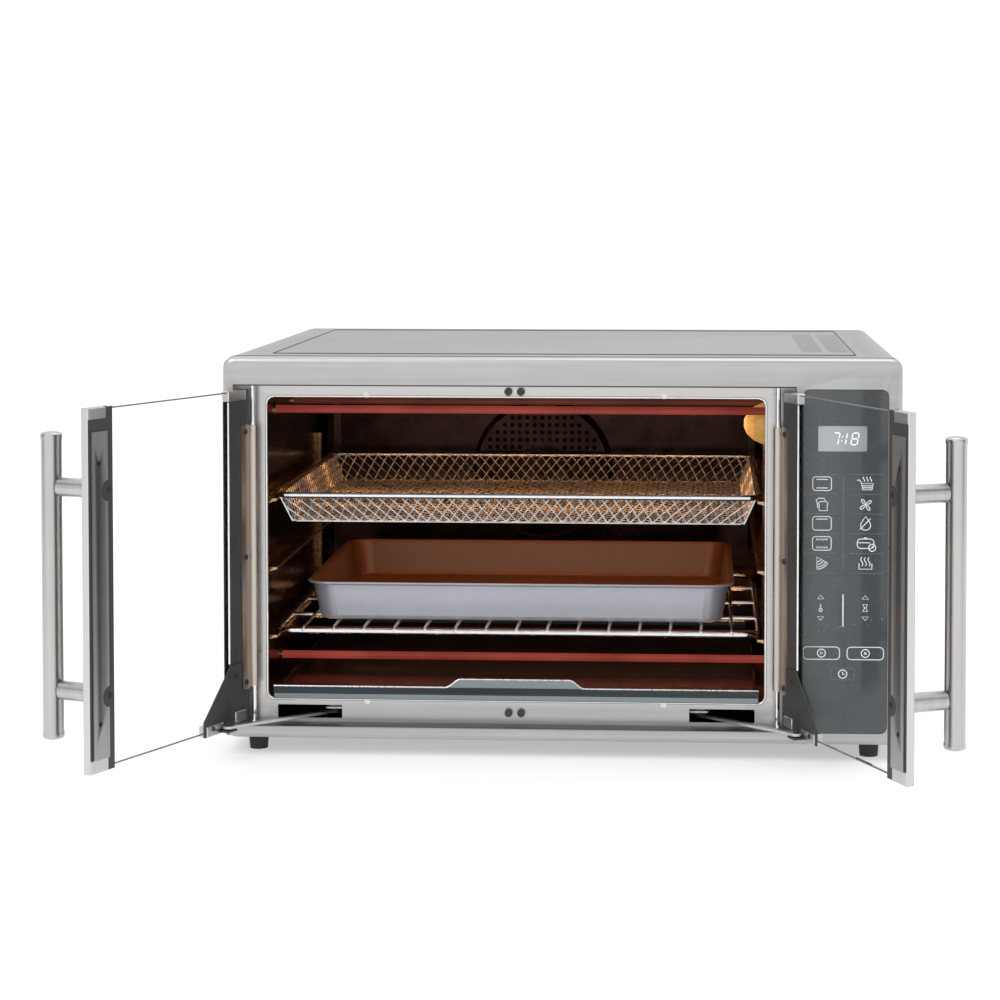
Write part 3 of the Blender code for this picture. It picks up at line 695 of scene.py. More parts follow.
# ---- Geometry Nodes trees ------------------------------------------------------------------------
def new_tree(name, **sizes):
    """A tree with a geometry input and named sizes; returns it with its input and output nodes."""
    tree = bpy.data.node_groups.new(name, "GeometryNodeTree")
    tree.interface.new_socket("Geometry", in_out="INPUT", socket_type="NodeSocketGeometry")
    for label, kind in sizes.items():
        tree.interface.new_socket(label, in_out="INPUT", socket_type="NodeSocket" + kind)
    tree.interface.new_socket("Geometry", in_out="OUTPUT", socket_type="NodeSocketGeometry")
    return tree, put(tree, "NodeGroupInput").outputs, put(tree, "NodeGroupOutput")


def close_tree(tree, given, out, geometry):
    """End a tree in real geometry with its finish."""
    real = put(tree, "GeometryNodeRealizeInstances", {"Geometry": geometry}).outputs["Geometry"]
    done = put(tree, "GeometryNodeSetMaterial", {"Geometry": real, "Material": given["Finish"]})
    tree.links.new(done.outputs["Geometry"], out.inputs["Geometry"])
    return tree


def wire_tree():
    """Round wire swept along every path of edges."""
    tree, given, out = new_tree("wire_along_path", Radius="Float", Sides="Int", Finish="Material")
    path = put(tree, "GeometryNodeMeshToCurve", {"Mesh": given["Geometry"]}).outputs["Curve"]
    size = {"Resolution": given["Sides"], "Radius": given["Radius"]}
    ring = put(tree, "GeometryNodeCurvePrimitiveCircle", size).outputs["Curve"]
    sweep = {"Curve": path, "Profile Curve": ring, "Fill Caps": True}
    return close_tree(tree, given, out, put(tree, "GeometryNodeCurveToMesh", sweep).outputs["Mesh"])


def fastener_tree():
    """The same small part set at every point, its top turned to face the point's direction."""
    tree, given, out = new_tree("part_at_points", Part="Object", Finish="Material")
    part = put(tree, "GeometryNodeObjectInfo", {"Object": given["Part"]}).outputs["Geometry"]
    facing = put(tree, "GeometryNodeInputNamedAttribute", {"Name": "facing"}, data_type="FLOAT_VECTOR")
    aim = {"Vector": facing.outputs["Attribute"]}
    turn = put(tree, "FunctionNodeAlignRotationToVector", aim, axis="Z")
    copying = {"Points": given["Geometry"], "Instance": part, "Rotation": turn.outputs["Rotation"]}
    copies = put(tree, "GeometryNodeInstanceOnPoints", copying).outputs["Instances"]
    return close_tree(tree, given, out, copies)


def without(tree, geometry, chosen):
    """Geometry with its chosen points taken away."""
    doomed = {"Geometry": geometry, "Selection": chosen}
    return put(tree, "GeometryNodeDeleteGeometry", doomed, domain="POINT").outputs["Geometry"]


def lattice_tree():
    """A flat rectangle of diamond wire mesh in the xy plane."""
    tree, given, out = new_tree(
        "diamond_wire_mesh", Width="Float", Depth="Float", Pitch="Float", Wire="Float", Finish="Material"
    )
    reach = math_of(tree, "ADD", given["Width"], given["Depth"])
    lines = math_of(tree, "DIVIDE", reach, given["Pitch"])
    whole = math_of(tree, "CEIL", math_of(tree, "MULTIPLY", lines, math.sqrt(2)))
    span = math_of(tree, "MULTIPLY", whole, given["Pitch"])
    side = math_of(tree, "DIVIDE", span, math.sqrt(2))
    points = math_of(tree, "ADD", whole, 1.0)
    sizes = {"Size X": side, "Size Y": side, "Vertices X": points, "Vertices Y": points}
    grid = put(tree, "GeometryNodeMeshGrid", sizes).outputs["Mesh"]
    turn = {"Geometry": grid, "Rotation": (0, 0, math.pi / 4)}
    weave = put(tree, "GeometryNodeTransform", turn).outputs["Geometry"]
    place = put(tree, "GeometryNodeInputPosition").outputs["Position"]
    parts = put(tree, "ShaderNodeSeparateXYZ", {"Vector": place}).outputs
    margin = math_of(tree, "MULTIPLY", given["Pitch"], 0.55)
    held = {}
    for axis, label in (("X", "Width"), ("Y", "Depth")):
        half = math_of(tree, "MULTIPLY", given[label], 0.5)
        minus = math_of(tree, "MULTIPLY", half, -1.0)
        limit = math_of(tree, "ADD", half, margin)
        outside = math_of(tree, "GREATER_THAN", math_of(tree, "ABSOLUTE", parts[axis]), limit)
        weave = without(tree, weave, outside)
        range_of = {"Value": parts[axis], "Min": minus, "Max": half}
        held[axis] = put(tree, "ShaderNodeClamp", range_of).outputs[0]
    kept = put(tree, "ShaderNodeCombineXYZ", held).outputs["Vector"]
    trimmed = put(tree, "GeometryNodeSetPosition", {"Geometry": weave, "Position": kept})
    path = put(tree, "GeometryNodeMeshToCurve", {"Mesh": trimmed.outputs["Geometry"]}).outputs["Curve"]
    thin = {"Resolution": 4, "Radius": given["Wire"]}
    ring = put(tree, "GeometryNodeCurvePrimitiveCircle", thin).outputs["Curve"]
    swept = put(tree, "GeometryNodeCurveToMesh", {"Curve": path, "Profile Curve": ring}).outputs["Mesh"]
    return close_tree(tree, given, out, swept)


def punch_tree():
    """Rows of one cutter taken out of a sheet, between an inner and an outer reach from the middle."""
    tree, given, out = new_tree(
        "rows_of_openings",
        Cutter="Object",
        Columns="Int",
        Rows="Int",
        Column_Pitch="Float",
        Row_Pitch="Float",
        Inner_Reach="Float",
        Outer_Reach="Float",
        Centre="Vector",
        Turn="Rotation",
        Finish="Material",
    )
    spans = []
    for count, pitch in (("Columns", "Column_Pitch"), ("Rows", "Row_Pitch")):
        gaps = math_of(tree, "ADD", given[count], -1.0)
        spans.append(math_of(tree, "MULTIPLY", gaps, given[pitch]))
    sizes = {"Size X": spans[0], "Size Y": spans[1]}
    sizes.update({"Vertices X": given["Columns"], "Vertices Y": given["Rows"]})
    grid = put(tree, "GeometryNodeMeshGrid", sizes).outputs["Mesh"]
    place = put(tree, "GeometryNodeInputPosition").outputs["Position"]
    reach = put(tree, "ShaderNodeVectorMath", {0: place}, operation="LENGTH").outputs["Value"]
    far = math_of(tree, "GREATER_THAN", reach, given["Outer_Reach"])
    near = math_of(tree, "LESS_THAN", reach, given["Inner_Reach"])
    points = without(tree, grid, math_of(tree, "MAXIMUM", far, near))
    cutter = put(tree, "GeometryNodeObjectInfo", {"Object": given["Cutter"]}).outputs["Geometry"]
    copying = {"Points": points, "Instance": cutter}
    copies = put(tree, "GeometryNodeInstanceOnPoints", copying).outputs["Instances"]
    tools = put(tree, "GeometryNodeRealizeInstances", {"Geometry": copies}).outputs["Geometry"]
    move = {"Geometry": tools, "Translation": given["Centre"], "Rotation": given["Turn"]}
    turned = put(tree, "GeometryNodeTransform", move).outputs["Geometry"]
    cut = put(tree, "GeometryNodeMeshBoolean", operation="DIFFERENCE", solver="EXACT")
    tree.links.new(given["Geometry"], cut.inputs["Mesh 1"])
    tree.links.new(turned, cut.inputs["Mesh 2"])
    return close_tree(tree, given, out, cut.outputs["Mesh"])


WIRE_TREE = wire_tree()
FASTENER_TREE = fastener_tree()
LATTICE_TREE = lattice_tree()
PUNCH_TREE = punch_tree()


def grown(name, tree, mesh, finish, **sizes):
    """Run a tree once on a mesh and keep what it makes as a plain mesh."""
    live = keep(name, mesh, [finish])
    step = live.modifiers.new("grow", "NODES")
    step.node_group = tree
    for label, value in {**sizes, "Finish": finish}.items():
        socket = next(s for s in tree.interface.items_tree if s.name == label and s.in_out == "INPUT")
        step[socket.identifier] = value
    return baked(live)


def lines_of(paths):
    """A mesh of edges; a path that ends where it starts is a closed loop."""
    verts = []
    edges = []
    for path in paths:
        start = len(verts)
        closed = (Vector(path[0]) - Vector(path[-1])).length < TINY * MM
        points = path[:-1] if closed else path
        verts.extend(points)
        edges.extend((start + i, start + i + 1) for i in range(len(points) - 1))
        if closed:
            edges.append((len(verts) - 1, start))
    mesh = bpy.data.meshes.new("paths")
    mesh.from_pydata([tuple(v) for v in verts], edges, [])
    return mesh


def wires(name, paths, radius, finish, sides=8):
    """Round wire along each path."""
    return crisp(grown(name, WIRE_TREE, lines_of(paths), finish, Radius=radius, Sides=sides), angle=50)


def set_out(name, part, places, finish):
    """Small parts at (point, facing) places."""
    mesh = bpy.data.meshes.new("places")
    mesh.from_pydata([tuple(point) for point, _ in places], [], [])
    facing = mesh.attributes.new("facing", "FLOAT_VECTOR", "POINT")
    for item, (_, direction) in zip(facing.data, places):
        item.vector = direction
    return crisp(grown(name, FASTENER_TREE, mesh, finish, Part=part))


def joined(name, pieces):
    """Several plain pieces made one; each part keeps its finish."""
    bm = bmesh.new()
    finishes = []
    for piece in pieces:
        first = len(bm.faces)
        for finish in piece.data.materials:
            if finish not in finishes:
                finishes.append(finish)
        bm.from_mesh(piece.data)
        bm.faces.ensure_lookup_table()
        for face in bm.faces[first:]:
            face.material_index = finishes.index(piece.data.materials[face.material_index])
        bpy.data.objects.remove(piece)
    return crisp(keep(name, mesh_of(name, bm), finishes), angle=40)


TEMPLATES = []


def template(name, bm):
    """A small part that trees copy; it is removed at the end."""
    made = solid(name, bm, [ZINC])
    TEMPLATES.append(made)
    return made


def screw_head():
    """Pan head with a cross recess."""
    radius, height, arm, slot = 0.0026, 0.0011, 0.0015, 0.00035
    cross = []
    for turn in range(4):
        angle = math.pi / 2 * turn
        for along, across in ((slot, -slot), (arm, -slot), (arm, slot)):
            x = along * math.cos(angle) - across * math.sin(angle)
            y = along * math.sin(angle) + across * math.cos(angle)
            cross.append((x, y))
    bm = sheet_of("z", 0.0003, height, disc((0, 0), radius=radius * 0.82, sides=20), [cross])
    rim = disc((0, 0), radius=radius, sides=20)
    stacked("z", [(rim, -0.0004), (rim, 0.0005)], bm)
    return template("screw_head", bm)


SCREW = screw_head()


def washer():
    """Flat ring that stands round a heater."""
    outer, inner = [disc((0, 0), radius=radius, sides=20) for radius in (0.0065, 0.0037)]
    return template("washer", sheet_of("z", 0.0, 0.0012, outer, [inner]))


def slot_cutter(length, width, depth):
    """Round-ended bar that cuts a vent slot."""
    outline = ease((-length / 2, -width / 2), (length / 2, width / 2), radius=width / 2.02, steps=3)
    return template("slot_cutter", sheet_of("z", -depth, depth, outline))


def hole_cutter(radius, depth):
    """Peg that cuts a round hole."""
    return template("hole_cutter", sheet_of("z", -depth, depth, disc((0, 0), radius=radius, sides=10)))


def copy_of(node):
    """A merged copy of a CAD node's mesh, with its flat faces made whole."""
    bm = bmesh.new()
    bm.from_mesh(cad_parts[node].data)
    bmesh.ops.remove_doubles(bm, verts=bm.verts, dist=0.000001)
    bmesh.ops.dissolve_limit(bm, angle_limit=0.002, verts=bm.verts, edges=bm.edges)
    for face in bm.faces:
        face.material_index = 0
    return mesh_of(node + "_copy", bm)


# ---- cabinet -------------------------------------------------------------------------------------
def vented(name, mesh, finish, cutter, counts, pitches, centre, turn=(0, 0, 0), reaches=(0.0, 9.0)):
    """A sheet with openings in columns and rows; counts and pitches are (column, row) pairs."""
    sizes = {
        "Cutter": cutter,
        "Columns": counts[0],
        "Rows": counts[1],
        "Column_Pitch": pitches[0],
        "Row_Pitch": pitches[1],
        "Inner_Reach": reaches[0],
        "Outer_Reach": reaches[1],
        "Centre": tuple(centre),
        "Turn": turn,
    }
    return crisp(grown(name, PUNCH_TREE, mesh, finish, **sizes))


UPRIGHT = (math.pi / 2, 0, 0)


def top_and_sides():
    """Folded cover with two columns of vent slots over the control side."""
    slot = slot_cutter(length=0.0190, width=0.0022, depth=0.006)
    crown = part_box("outer_wrap")[1].z
    centre = spot(0.2685, 0.2160, crown - BODY_LOW)
    pitches = (0.0240, 0.0060)
    shell = vented("top_and_sides", copy_of("outer_wrap"), WRAP_STEEL, slot, (2, 46), pitches, centre)
    shell.data.materials.append(SIDE_STEEL)
    side_slot = len(shell.data.materials) - 1
    for vert in shell.data.vertices:
        if vert.co.z > crown - 2 * TINY:
            vert.co.z -= PANEL_SINK
    for face in shell.data.polygons:
        if abs(face.normal.x) > 0.7:
            face.material_index = side_slot
    fit(shell, "cabinet", "brushed_steel", "outer_wrap")


def back_panels():
    """Rear cover and motor cover with their vent slots."""
    tall = slot_cutter(length=0.0300, width=0.0030, depth=0.004)
    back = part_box("rear_cover")[1].y - FACE_Y
    cover = copy_of("rear_cover")
    for x in (-0.165, 0.205):
        centre = spot(x, back, 0.205)
        step = vented("rear_step", cover, BLACK, tall, (2, 16), (0.040, 0.0085), centre, UPRIGHT)
        cover = step.data.copy()
        bpy.data.objects.remove(step)
    fit(crisp(keep("rear_panel", cover, [BLACK])), "cabinet", "black_paint", "rear_cover")
    centre = spot(0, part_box("motor_cover")[1].y - FACE_Y, FAN_Z)
    motor_cover = copy_of("motor_cover")
    hood = vented("motor_hood", motor_cover, BLACK, tall, (3, 9), (0.040, 0.0100), centre, UPRIGHT)
    fit(hood, "cabinet", "black_paint", "motor_cover")


def rim_of_mouth():
    """Rolled bright edge round the cavity mouth."""
    gap = 0.0010
    low = (-MOUTH_HALF - gap, MOUTH_LOW - gap)
    high = (MOUTH_HALF + gap, MOUTH_HIGH + gap)
    loop = [spot(x, MOUTH_PLANE, z) for x, z in ease(low, high, radius=0.0070, steps=8)]
    rim = wires("mouth_rim", [loop_of(loop)], radius=0.0009, finish=EDGE, sides=10)
    fit(rim, "cabinet", "chrome_wire")


def top_seam():
    """Dark joint round the raised panel of the top."""
    low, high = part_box("outer_wrap")
    inset = Vector((0.0375, 0.0275, 0.0))
    outline = ease((low + inset).xy, (high - inset).xy, radius=0.0020, steps=3)
    path = [Vector((x, y, high.z - PANEL_SINK)) for x, y in outline]
    seam = wires("top_seam", [loop_of(path)], radius=SEAM_WIRE, finish=SHADED, sides=6)
    fit(seam, "cabinet", "brushed_steel")


def face_plates():
    """Bezel and mouth plate with even shading, a dark sheet of painted shade on the floor of the recess,
    and its dark upper joint.
    """
    for node, name in (("front_bezel", "bezel_plate"), ("inner_frame", "mouth_plate")):
        fit(crisp(keep(name, copy_of(node), [BEZEL_STEEL]), angle=20), "cabinet", "brushed_steel", node)
    # Thin dark sheet on the recess floor: painted shade.
    low = spot(-RECESS_HALF, 0.0010, RECESS_LOW)
    high = spot(RECESS_HALF, MOUTH_PLANE, RECESS_LOW + 3 * TINY)
    fit(solid("recess_sill", block(low, high), [SHADED]), "cabinet", "brushed_steel")
    path = [spot(side * RECESS_HALF, 4 * TINY, RECESS_HIGH) for side in (-1, 1)]
    joint = wires("recess_joint", [path], radius=SEAM_WIRE, finish=SHADED, sides=6)
    fit(joint, "cabinet", "brushed_steel")


def bezel_seam():
    """Dark joint between the bezel and the folded cover."""
    low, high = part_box("outer_wrap")
    outline = ease((low.x + TINY, low.z), (high.x - TINY, BODY_LOW + 0.3284), radius=0.0100, steps=8)
    upper = [p for p in outline if p[1] > low.z + 0.02]
    foot = low.z + 0.001
    corners = [(upper[0][0], foot)] + upper + [(upper[-1][0], foot)]
    path = [Vector((x, low.y - TINY, z)) for x, z in corners]
    fit(wires("bezel_seam", [path], radius=0.0005, finish=BLACK, sides=6), "cabinet", "black_rubber")


def cabinet_screws():
    """Screws of the front frame, the cavity walls, the back and the motor cover."""
    forward, backward = (0, -1, 0), (0, 1, 0)
    hood_plane = 0.4737
    places = []
    for side in (-1, 1):
        for z in (0.2948, 0.0288):
            places.append((spot(side * 0.1280, MOUTH_PLANE + TINY, z), forward))
        for z in (0.2305, 0.0798):
            places.append((spot(side * (CAVITY_HALF - 5 * TINY), 0.0265, z), (-side, 0, 0)))
        for z in (0.1350, 0.2450):
            places.append((spot(side * 0.0730, hood_plane, z), backward))
    left, middle, right = -0.238, 0.040, 0.318
    for x in (left, middle, right):
        for z in (0.012, 0.3165):
            places.append((spot(x, BACK_PLANE, z), backward))
    for x in (left, right):
        places.append((spot(x, BACK_PLANE, 0.165), backward))
    fit(set_out("cabinet_screws", SCREW, places, ZINC), "cabinet", "chrome_wire")


# ---- cavity --------------------------------------------------------------------------------------
def fan_guard():
    """Dished cover of the fan with round perforations."""
    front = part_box("fan_cover")[0].y - FACE_Y
    hole = hole_cutter(radius=0.0023, depth=0.004)
    centre = spot(0, front, FAN_Z)
    pitches = (0.0075, 0.0075)
    reaches = (0.030, 0.061)
    guard = vented(
        "fan_guard", copy_of("fan_cover"), CAVITY, hole, (17, 17), pitches, centre, UPRIGHT, reaches
    )
    fit(guard, "cabinet", "cavity_steel", "fan_cover")


def heater_collars():
    """A washer round each heater where it enters a wall."""
    places = []
    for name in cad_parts:
        if "_heater_" in name:
            middle = middle_of(name)
            for side in (-1, 1):
                places.append((Vector((side * CAVITY_HALF, middle.y, middle.z)), (-side, 0, 0)))
    fit(set_out("heater_collars", washer(), places, RAIL_GLINT), "cabinet", "cavity_steel")


def rail_edges():
    """Rolled inner edge of each rack ledge, its ends led back and down to the wall."""
    tip = 0.2090
    front, back = 0.0330, 0.3870
    paths = []
    for side in (-1, 1):
        for top in LEDGE_TOPS:
            edge = top - 0.0012
            root = top - 0.0050
            corners = [(LEDGE_HALF, front, root), (tip, front, edge)]
            corners += [(tip, back, edge), (LEDGE_HALF, back, root)]
            paths.append(bent([spot(side * x, y, z) for x, y, z in corners], radius=0.006))
    fit(wires("rail_edges", paths, radius=0.0012, finish=RAIL_GLINT), "cabinet", "cavity_steel")


def lamp_ring():
    """Steel ring round the lamp glass."""
    middle = middle_of("lamp_glass")
    loop = [(LEDGE_HALF, y, z) for y, z in disc((middle.y, middle.z), radius=0.0212, sides=32)]
    fit(wires("lamp_ring", [loop_of(loop)], radius=0.0011, finish=RAIL_GLINT), "cabinet", "cavity_steel")


# ---- racks and trays -----------------------------------------------------------------------------
def rack():
    """Welded rack: frame with eased corners, cross bars, and wires whose ends hook over the frame."""
    low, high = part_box("wire_rack")
    wire = 0.0015
    rim = 0.0024
    pitch = 0.0267
    z = low.z + rim
    left, right = low.x + rim, high.x - rim
    outline = ease((left, low.y + rim), (right, high.y - rim), radius=0.016, steps=8)
    thick = [loop_of([Vector((x, y, z)) for x, y in outline])]
    for share in (0.25, 0.50, 0.75):
        y = low.y + (high.y - low.y) * share
        thick.append([Vector((left, y, z)), Vector((right, y, z))])
    top = z + rim + wire * 0.4
    hook = z - 0.0004
    side_view = (
        (low.y + 0.0011, hook),
        (low.y + 0.0016, top),
        (high.y - 0.0016, top),
        (high.y - 0.0011, hook),
    )
    thin = []
    for number in range(-7, 8):
        thin.append(bent([Vector((number * pitch, y, z)) for y, z in side_view], radius=0.0022))
    outer = wires("rack_frame", thick, radius=rim, finish=CHROME, sides=12)
    rods = wires("rack_rods", thin, radius=wire, finish=CHROME)
    fit(joined("rack_wires", [outer, rods]), "rack", "chrome_wire", "wire_rack")


DIAMOND_STRETCH = 1.3


def moved_panel(name, width, depth, spread, to_place, wire=0.00048):
    """A piece of diamond mesh, each of its points carried by to_place; spread widens its upper edge."""
    sizes = {"Width": width, "Depth": depth / DIAMOND_STRETCH, "Pitch": 0.0098, "Wire": wire}
    panel = grown(name, LATTICE_TREE, bpy.data.meshes.new("start"), MESH_WIRE, **sizes)
    for vert in panel.data.vertices:
        x, y, z = vert.co
        y *= DIAMOND_STRETCH
        share = y / depth + 0.5
        vert.co = to_place(x * (1 + spread * share), y, z)
    return panel


def basket():
    """Diamond wire mesh tray with sloping walls, closed along its folds by a border wire."""
    low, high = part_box("basket_mesh")
    flare = 0.0100
    border = 0.0007
    rise = high.z - low.z - 0.0012
    slant = math.hypot(flare, rise)
    floor_z = low.z + 0.0006
    x_half = high.x - flare - 0.0008
    y_mid = (low.y + high.y) / 2
    y_half = (high.y - low.y) / 2 - flare - 0.0008

    def level(x, y, z):
        return Vector((x, y_mid + y, floor_z + z))

    def lean(y, z):
        """How far out and how high a point of a sloping wall lies."""
        share = y / slant + 0.5
        return flare * share + z * 0.9, floor_z + rise * share - z * 0.4

    panels = [moved_panel("floor", 2 * x_half, 2 * y_half, 0.0, level, 0.00032)]
    for side in (-1, 1):

        def end_wall(x, y, z, side=side):
            outward, height = lean(y, z)
            return Vector((side * (x_half + outward), y_mid + x, height))

        def long_wall(x, y, z, side=side):
            outward, height = lean(y, z)
            return Vector((x, y_mid + side * (y_half + outward), height))

        panels.append(moved_panel("wall", 2 * y_half, slant, flare / y_half, end_wall))
        panels.append(moved_panel("wall", 2 * x_half, slant, flare / x_half, long_wall))
    corners = ((-1, -1), (1, -1), (1, 1), (-1, 1))
    feet = [Vector((sx * x_half, y_mid + sy * y_half, floor_z)) for sx, sy in corners]
    heads = [foot + Vector((sx * flare, sy * flare, rise)) for foot, (sx, sy) in zip(feet, corners)]
    borders = [bent(feet, radius=0.004, closed=True), bent(heads, radius=0.004, closed=True)]
    borders.extend([foot, head] for foot, head in zip(feet, heads))
    panels.append(wires("border", borders, radius=border, finish=CHROME, sides=6))
    fit(joined("basket_weave", panels), "basket", "chrome_wire", "basket_mesh")


def pan():
    """Drawn pan with eased floor corners and a rolled lip; the inside has its own coating.

    Each level is its inset from the pan's box, its height and its corner radius.
    """
    low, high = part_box("baking_pan")
    height = high.z - low.z
    outside = [
        (0.0300, 0.0, 0.0100),
        (0.0135, 0.0, 0.0150),
        (0.0112, 0.0012, 0.0170),
        (0.0100, 0.0040, 0.0180),
        (0.0050, height - 0.0036, 0.0200),
        (0.0036, height - 0.0026, 0.0210),
        (0.0008, height - 0.0026, 0.0230),
        (0.0, height - 0.0015, 0.0240),
        (0.0008, height - 0.0003, 0.0230),
    ]
    inside = [
        (0.0024, height, 0.0220),
        (0.0050, height - 0.0004, 0.0200),
        (0.0060, height - 0.0030, 0.0195),
        (0.0110, 0.0052, 0.0170),
        (0.0124, 0.0020, 0.0160),
        (0.0150, 0.0010, 0.0140),
        (0.0310, 0.0010, 0.0095),
    ]
    levels = []
    for inset, z, corner in outside + inside:
        near = (low.x + inset, low.y + inset)
        far = (high.x - inset, high.y - inset)
        levels.append((ease(near, far, radius=corner, steps=8), low.z + z))
    made = solid("drawn_pan", stacked("z", levels), [pan_outside(), pan_inside()])
    middle = (low + high) / 2
    for face in made.data.polygons:
        out_x = face.center.x / (high.x - middle.x)
        out_y = (face.center.y - middle.y) / (high.y - middle.y)
        outward = face.normal.x * out_x + face.normal.y * out_y
        if face.center.z > low.z + 5 * TINY and (face.normal.z > 0.7 or outward < 0):
            face.material_index = 1
    fit(made, "pan", "pan_coating", "baking_pan")


def grip_outline(foot, shoulder, grip):
    """The tray's front seen from the front: a low strip with a raised grip in its middle."""
    half = 0.0600
    slope = 0.0130
    steps = 8
    shares = [step / steps for step in range(steps + 1)]
    rises = [(1 - math.cos(math.pi * t)) / 2 for t in shares]
    climb = [(half - slope * t, shoulder + (grip - shoulder) * rise) for t, rise in zip(shares, rises)]
    descent = [(-x, z) for x, z in reversed(climb)]
    strip = [(-TRAY_HALF, foot), (TRAY_HALF, foot), (TRAY_HALF, shoulder)]
    return strip + climb + descent + [(-TRAY_HALF, shoulder)]


def tray():
    """Crumb tray: shallow floor, a stepped front strip and a raised grip with sloping shoulders."""
    low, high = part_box("crumb_tray")
    front = low.y
    half = 0.2078
    floor = spot(0, 0, MOUTH_LOW + 4 * TINY).z
    wall = 0.0058
    shallow = ((0.0, 0.0, 0.004), (0.0, wall, 0.004), (0.0010, wall, 0.003), (0.0016, 0.0012, 0.003))
    levels = []
    for inset, z, corner in shallow:
        near = (-half + inset, front + 0.0024 + inset)
        far = (half - inset, high.y - 4 * TINY - inset)
        levels.append((ease(near, far, radius=corner), floor + z))
    bm = stacked("z", levels)
    foot = low.z + 2 * TINY
    profile = grip_outline(foot, spot(0, 0, 0.0418).z, high.z - 0.0010)
    sheet_of("y", front + 0.0003, front + 0.0011, profile, (), bm)
    shell = solid("tray_shell", bm, [TRAY])
    crest = [Vector((x, front, z)) for x, z in profile[2:]]
    trim = wires("tray_trim", [crest], radius=SEAM_WIRE, finish=MESH_WIRE, sides=6)
    line = [Vector((side * 0.2085, front + 2 * TINY, foot + 0.0056)) for side in (-1, 1)]
    groove = wires("tray_groove", [line], radius=0.0006, finish=BLACK, sides=6)
    left, right, below, above = -0.2088, 0.2088, foot + 0.0004, foot + 0.0046
    step = [(left, below), (right, below), (right, above), (left, above)]
    faces = sheet_of("y", front, front + 0.0006, profile[3:-1])
    sheet_of("y", front, front + 0.0006, step, (), faces)
    face = solid("tray_face", faces, [GRIP])
    fit(joined("tray_with_grip", [shell, face, trim, groove]), "tray", "chrome_wire", "crumb_tray")


# ---- doors ---------------------------------------------------------------------------------------
DOORS = {"left": -1, "right": 1}


def door_place(name):
    """From a door's own frame (x along the door from its pin, y towards the oven) to the open door."""
    pin = middle_of(name + "_hinge_pin")
    side = DOORS[name]
    hinge = Matrix.Translation((pin.x, pin.y, BODY_LOW))
    return hinge @ Matrix.Rotation(side * OPEN_ANGLE, 4, "Z") @ Matrix.Diagonal((-side, 1, 1, 1))


def pane(name, place):
    """Glass with eased edges; its rim is ground."""
    half = 0.0020
    low = (0.0080, GLASS_PLANE - half, 0.0137)
    high = (DOOR_EDGE - 0.0014, GLASS_PLANE + half, 0.2980)
    made = solid(name + "_pane", block(low, high, ease_by=0.0006), [PANE, PANE_EDGE], place)
    across = (place.to_3x3() @ Vector((0, 1, 0))).normalized()
    for face in made.data.polygons:
        if abs(face.normal.dot(across)) < 0.5:
            face.material_index = 1
    fit(made, name + "_door", "door_glass", name + "_door_glass")


def meeting_stile(name, place):
    """Black channel over the free edge of the glass, closed by a bright steel strip."""
    out = GLASS_PLANE - STILE_HALF
    inn = GLASS_PLANE + STILE_HALF
    closed, opened = DOOR_EDGE, DOOR_EDGE - 0.0320
    wall = 0.0010
    turn = 0.0008
    section = [
        (opened, out),
        (closed - turn, out),
        (closed, out + turn),
        (closed, inn - turn),
        (closed - turn, inn),
        (opened, inn),
        (opened, inn - wall),
        (closed - wall, inn - wall),
        (closed - wall, out + wall),
        (opened, out + wall),
    ]
    channel = sheet_of("z", DOOR_LOW, DOOR_HIGH, section)
    made = solid(name + "_meeting_stile", channel, [BLACK, DOOR_STEEL], place)
    along = (place.to_3x3() @ Vector((1, 0, 0))).normalized()
    for face in made.data.polygons:
        if face.normal.dot(along) > 0.5:
            face.material_index = 1
    fit(made, name + "_door", "black_paint", name + "_door_latch_stile")


def corner_clips(name, place):
    """Folded clips over the corners of the glass and the foot of the gusset."""
    out = GLASS_PLANE - STILE_HALF - 4 * TINY
    inn = GLASS_PLANE + STILE_HALF + 5 * TINY
    low, high, tip = DOOR_LOW - 2 * TINY, DOOR_HIGH + 2 * TINY, DOOR_EDGE - 3 * TINY
    top = DOOR_HIGH - 0.0090
    bm = bmesh.new()
    block((0.0060, out, top), (0.0330, inn, high), ease_by=0.0008, bm=bm)
    block((tip - 0.0235, out, top - 4 * TINY), (tip, inn, high), ease_by=0.0008, bm=bm)
    block((tip - 0.0235, out, low), (tip, inn, DOOR_LOW + 0.0110), ease_by=0.0008, bm=bm)
    block((0.0440, out, low), (0.0690, inn + 0.0016, DOOR_LOW + 0.0090), ease_by=0.0008, bm=bm)
    tab = (0.0270, inn + 0.0018, DOOR_LOW + 0.0140)
    block((0.0110, inn, DOOR_LOW + 0.0050), tab, ease_by=0.0006, bm=bm)
    fit(solid(name + "_corner_clips", bm, [CLIP], place), name + "_door", "brushed_steel")


def pane_edgings(name, place):
    """Bright bead along the stile beside the hinge, and seals over the glass's level edges."""
    ends = (DOOR_LOW + 0.0560, DOOR_HIGH - 0.0095)
    bead = [place @ Vector((0.0322, GLASS_PLANE + STILE_HALF - 4 * TINY, z)) for z in ends]
    fit(wires(name + "_pane_bead", [bead], radius=0.0009, finish=EDGE), name + "_door", "chrome_wire")
    ends = (0.0330, DOOR_EDGE - 0.0240)
    seals = [[place @ Vector((u, GLASS_PLANE, z)) for u in ends] for z in (0.2983, 0.0134)]
    made = wires(name + "_pane_seals", seals, radius=SEAM_WIRE, finish=PANE_EDGE)
    fit(made, name + "_door", "door_glass")


def strips(name):
    """Stiffener, hinge strip and gusset with even shading."""
    for part, finish, slot in (
        ("latch_plate", STIFFENER, "brushed_steel"),
        ("hinge_leaf", HINGE_GLOW, "brushed_steel"),
        ("hinge_foot", BLACK, "black_paint"),
    ):
        node = name + "_door_" + part
        piece = crisp(keep(name + "_" + part + "_plate", copy_of(node), [finish]), angle=25)
        fit(piece, name + "_door", slot, node)


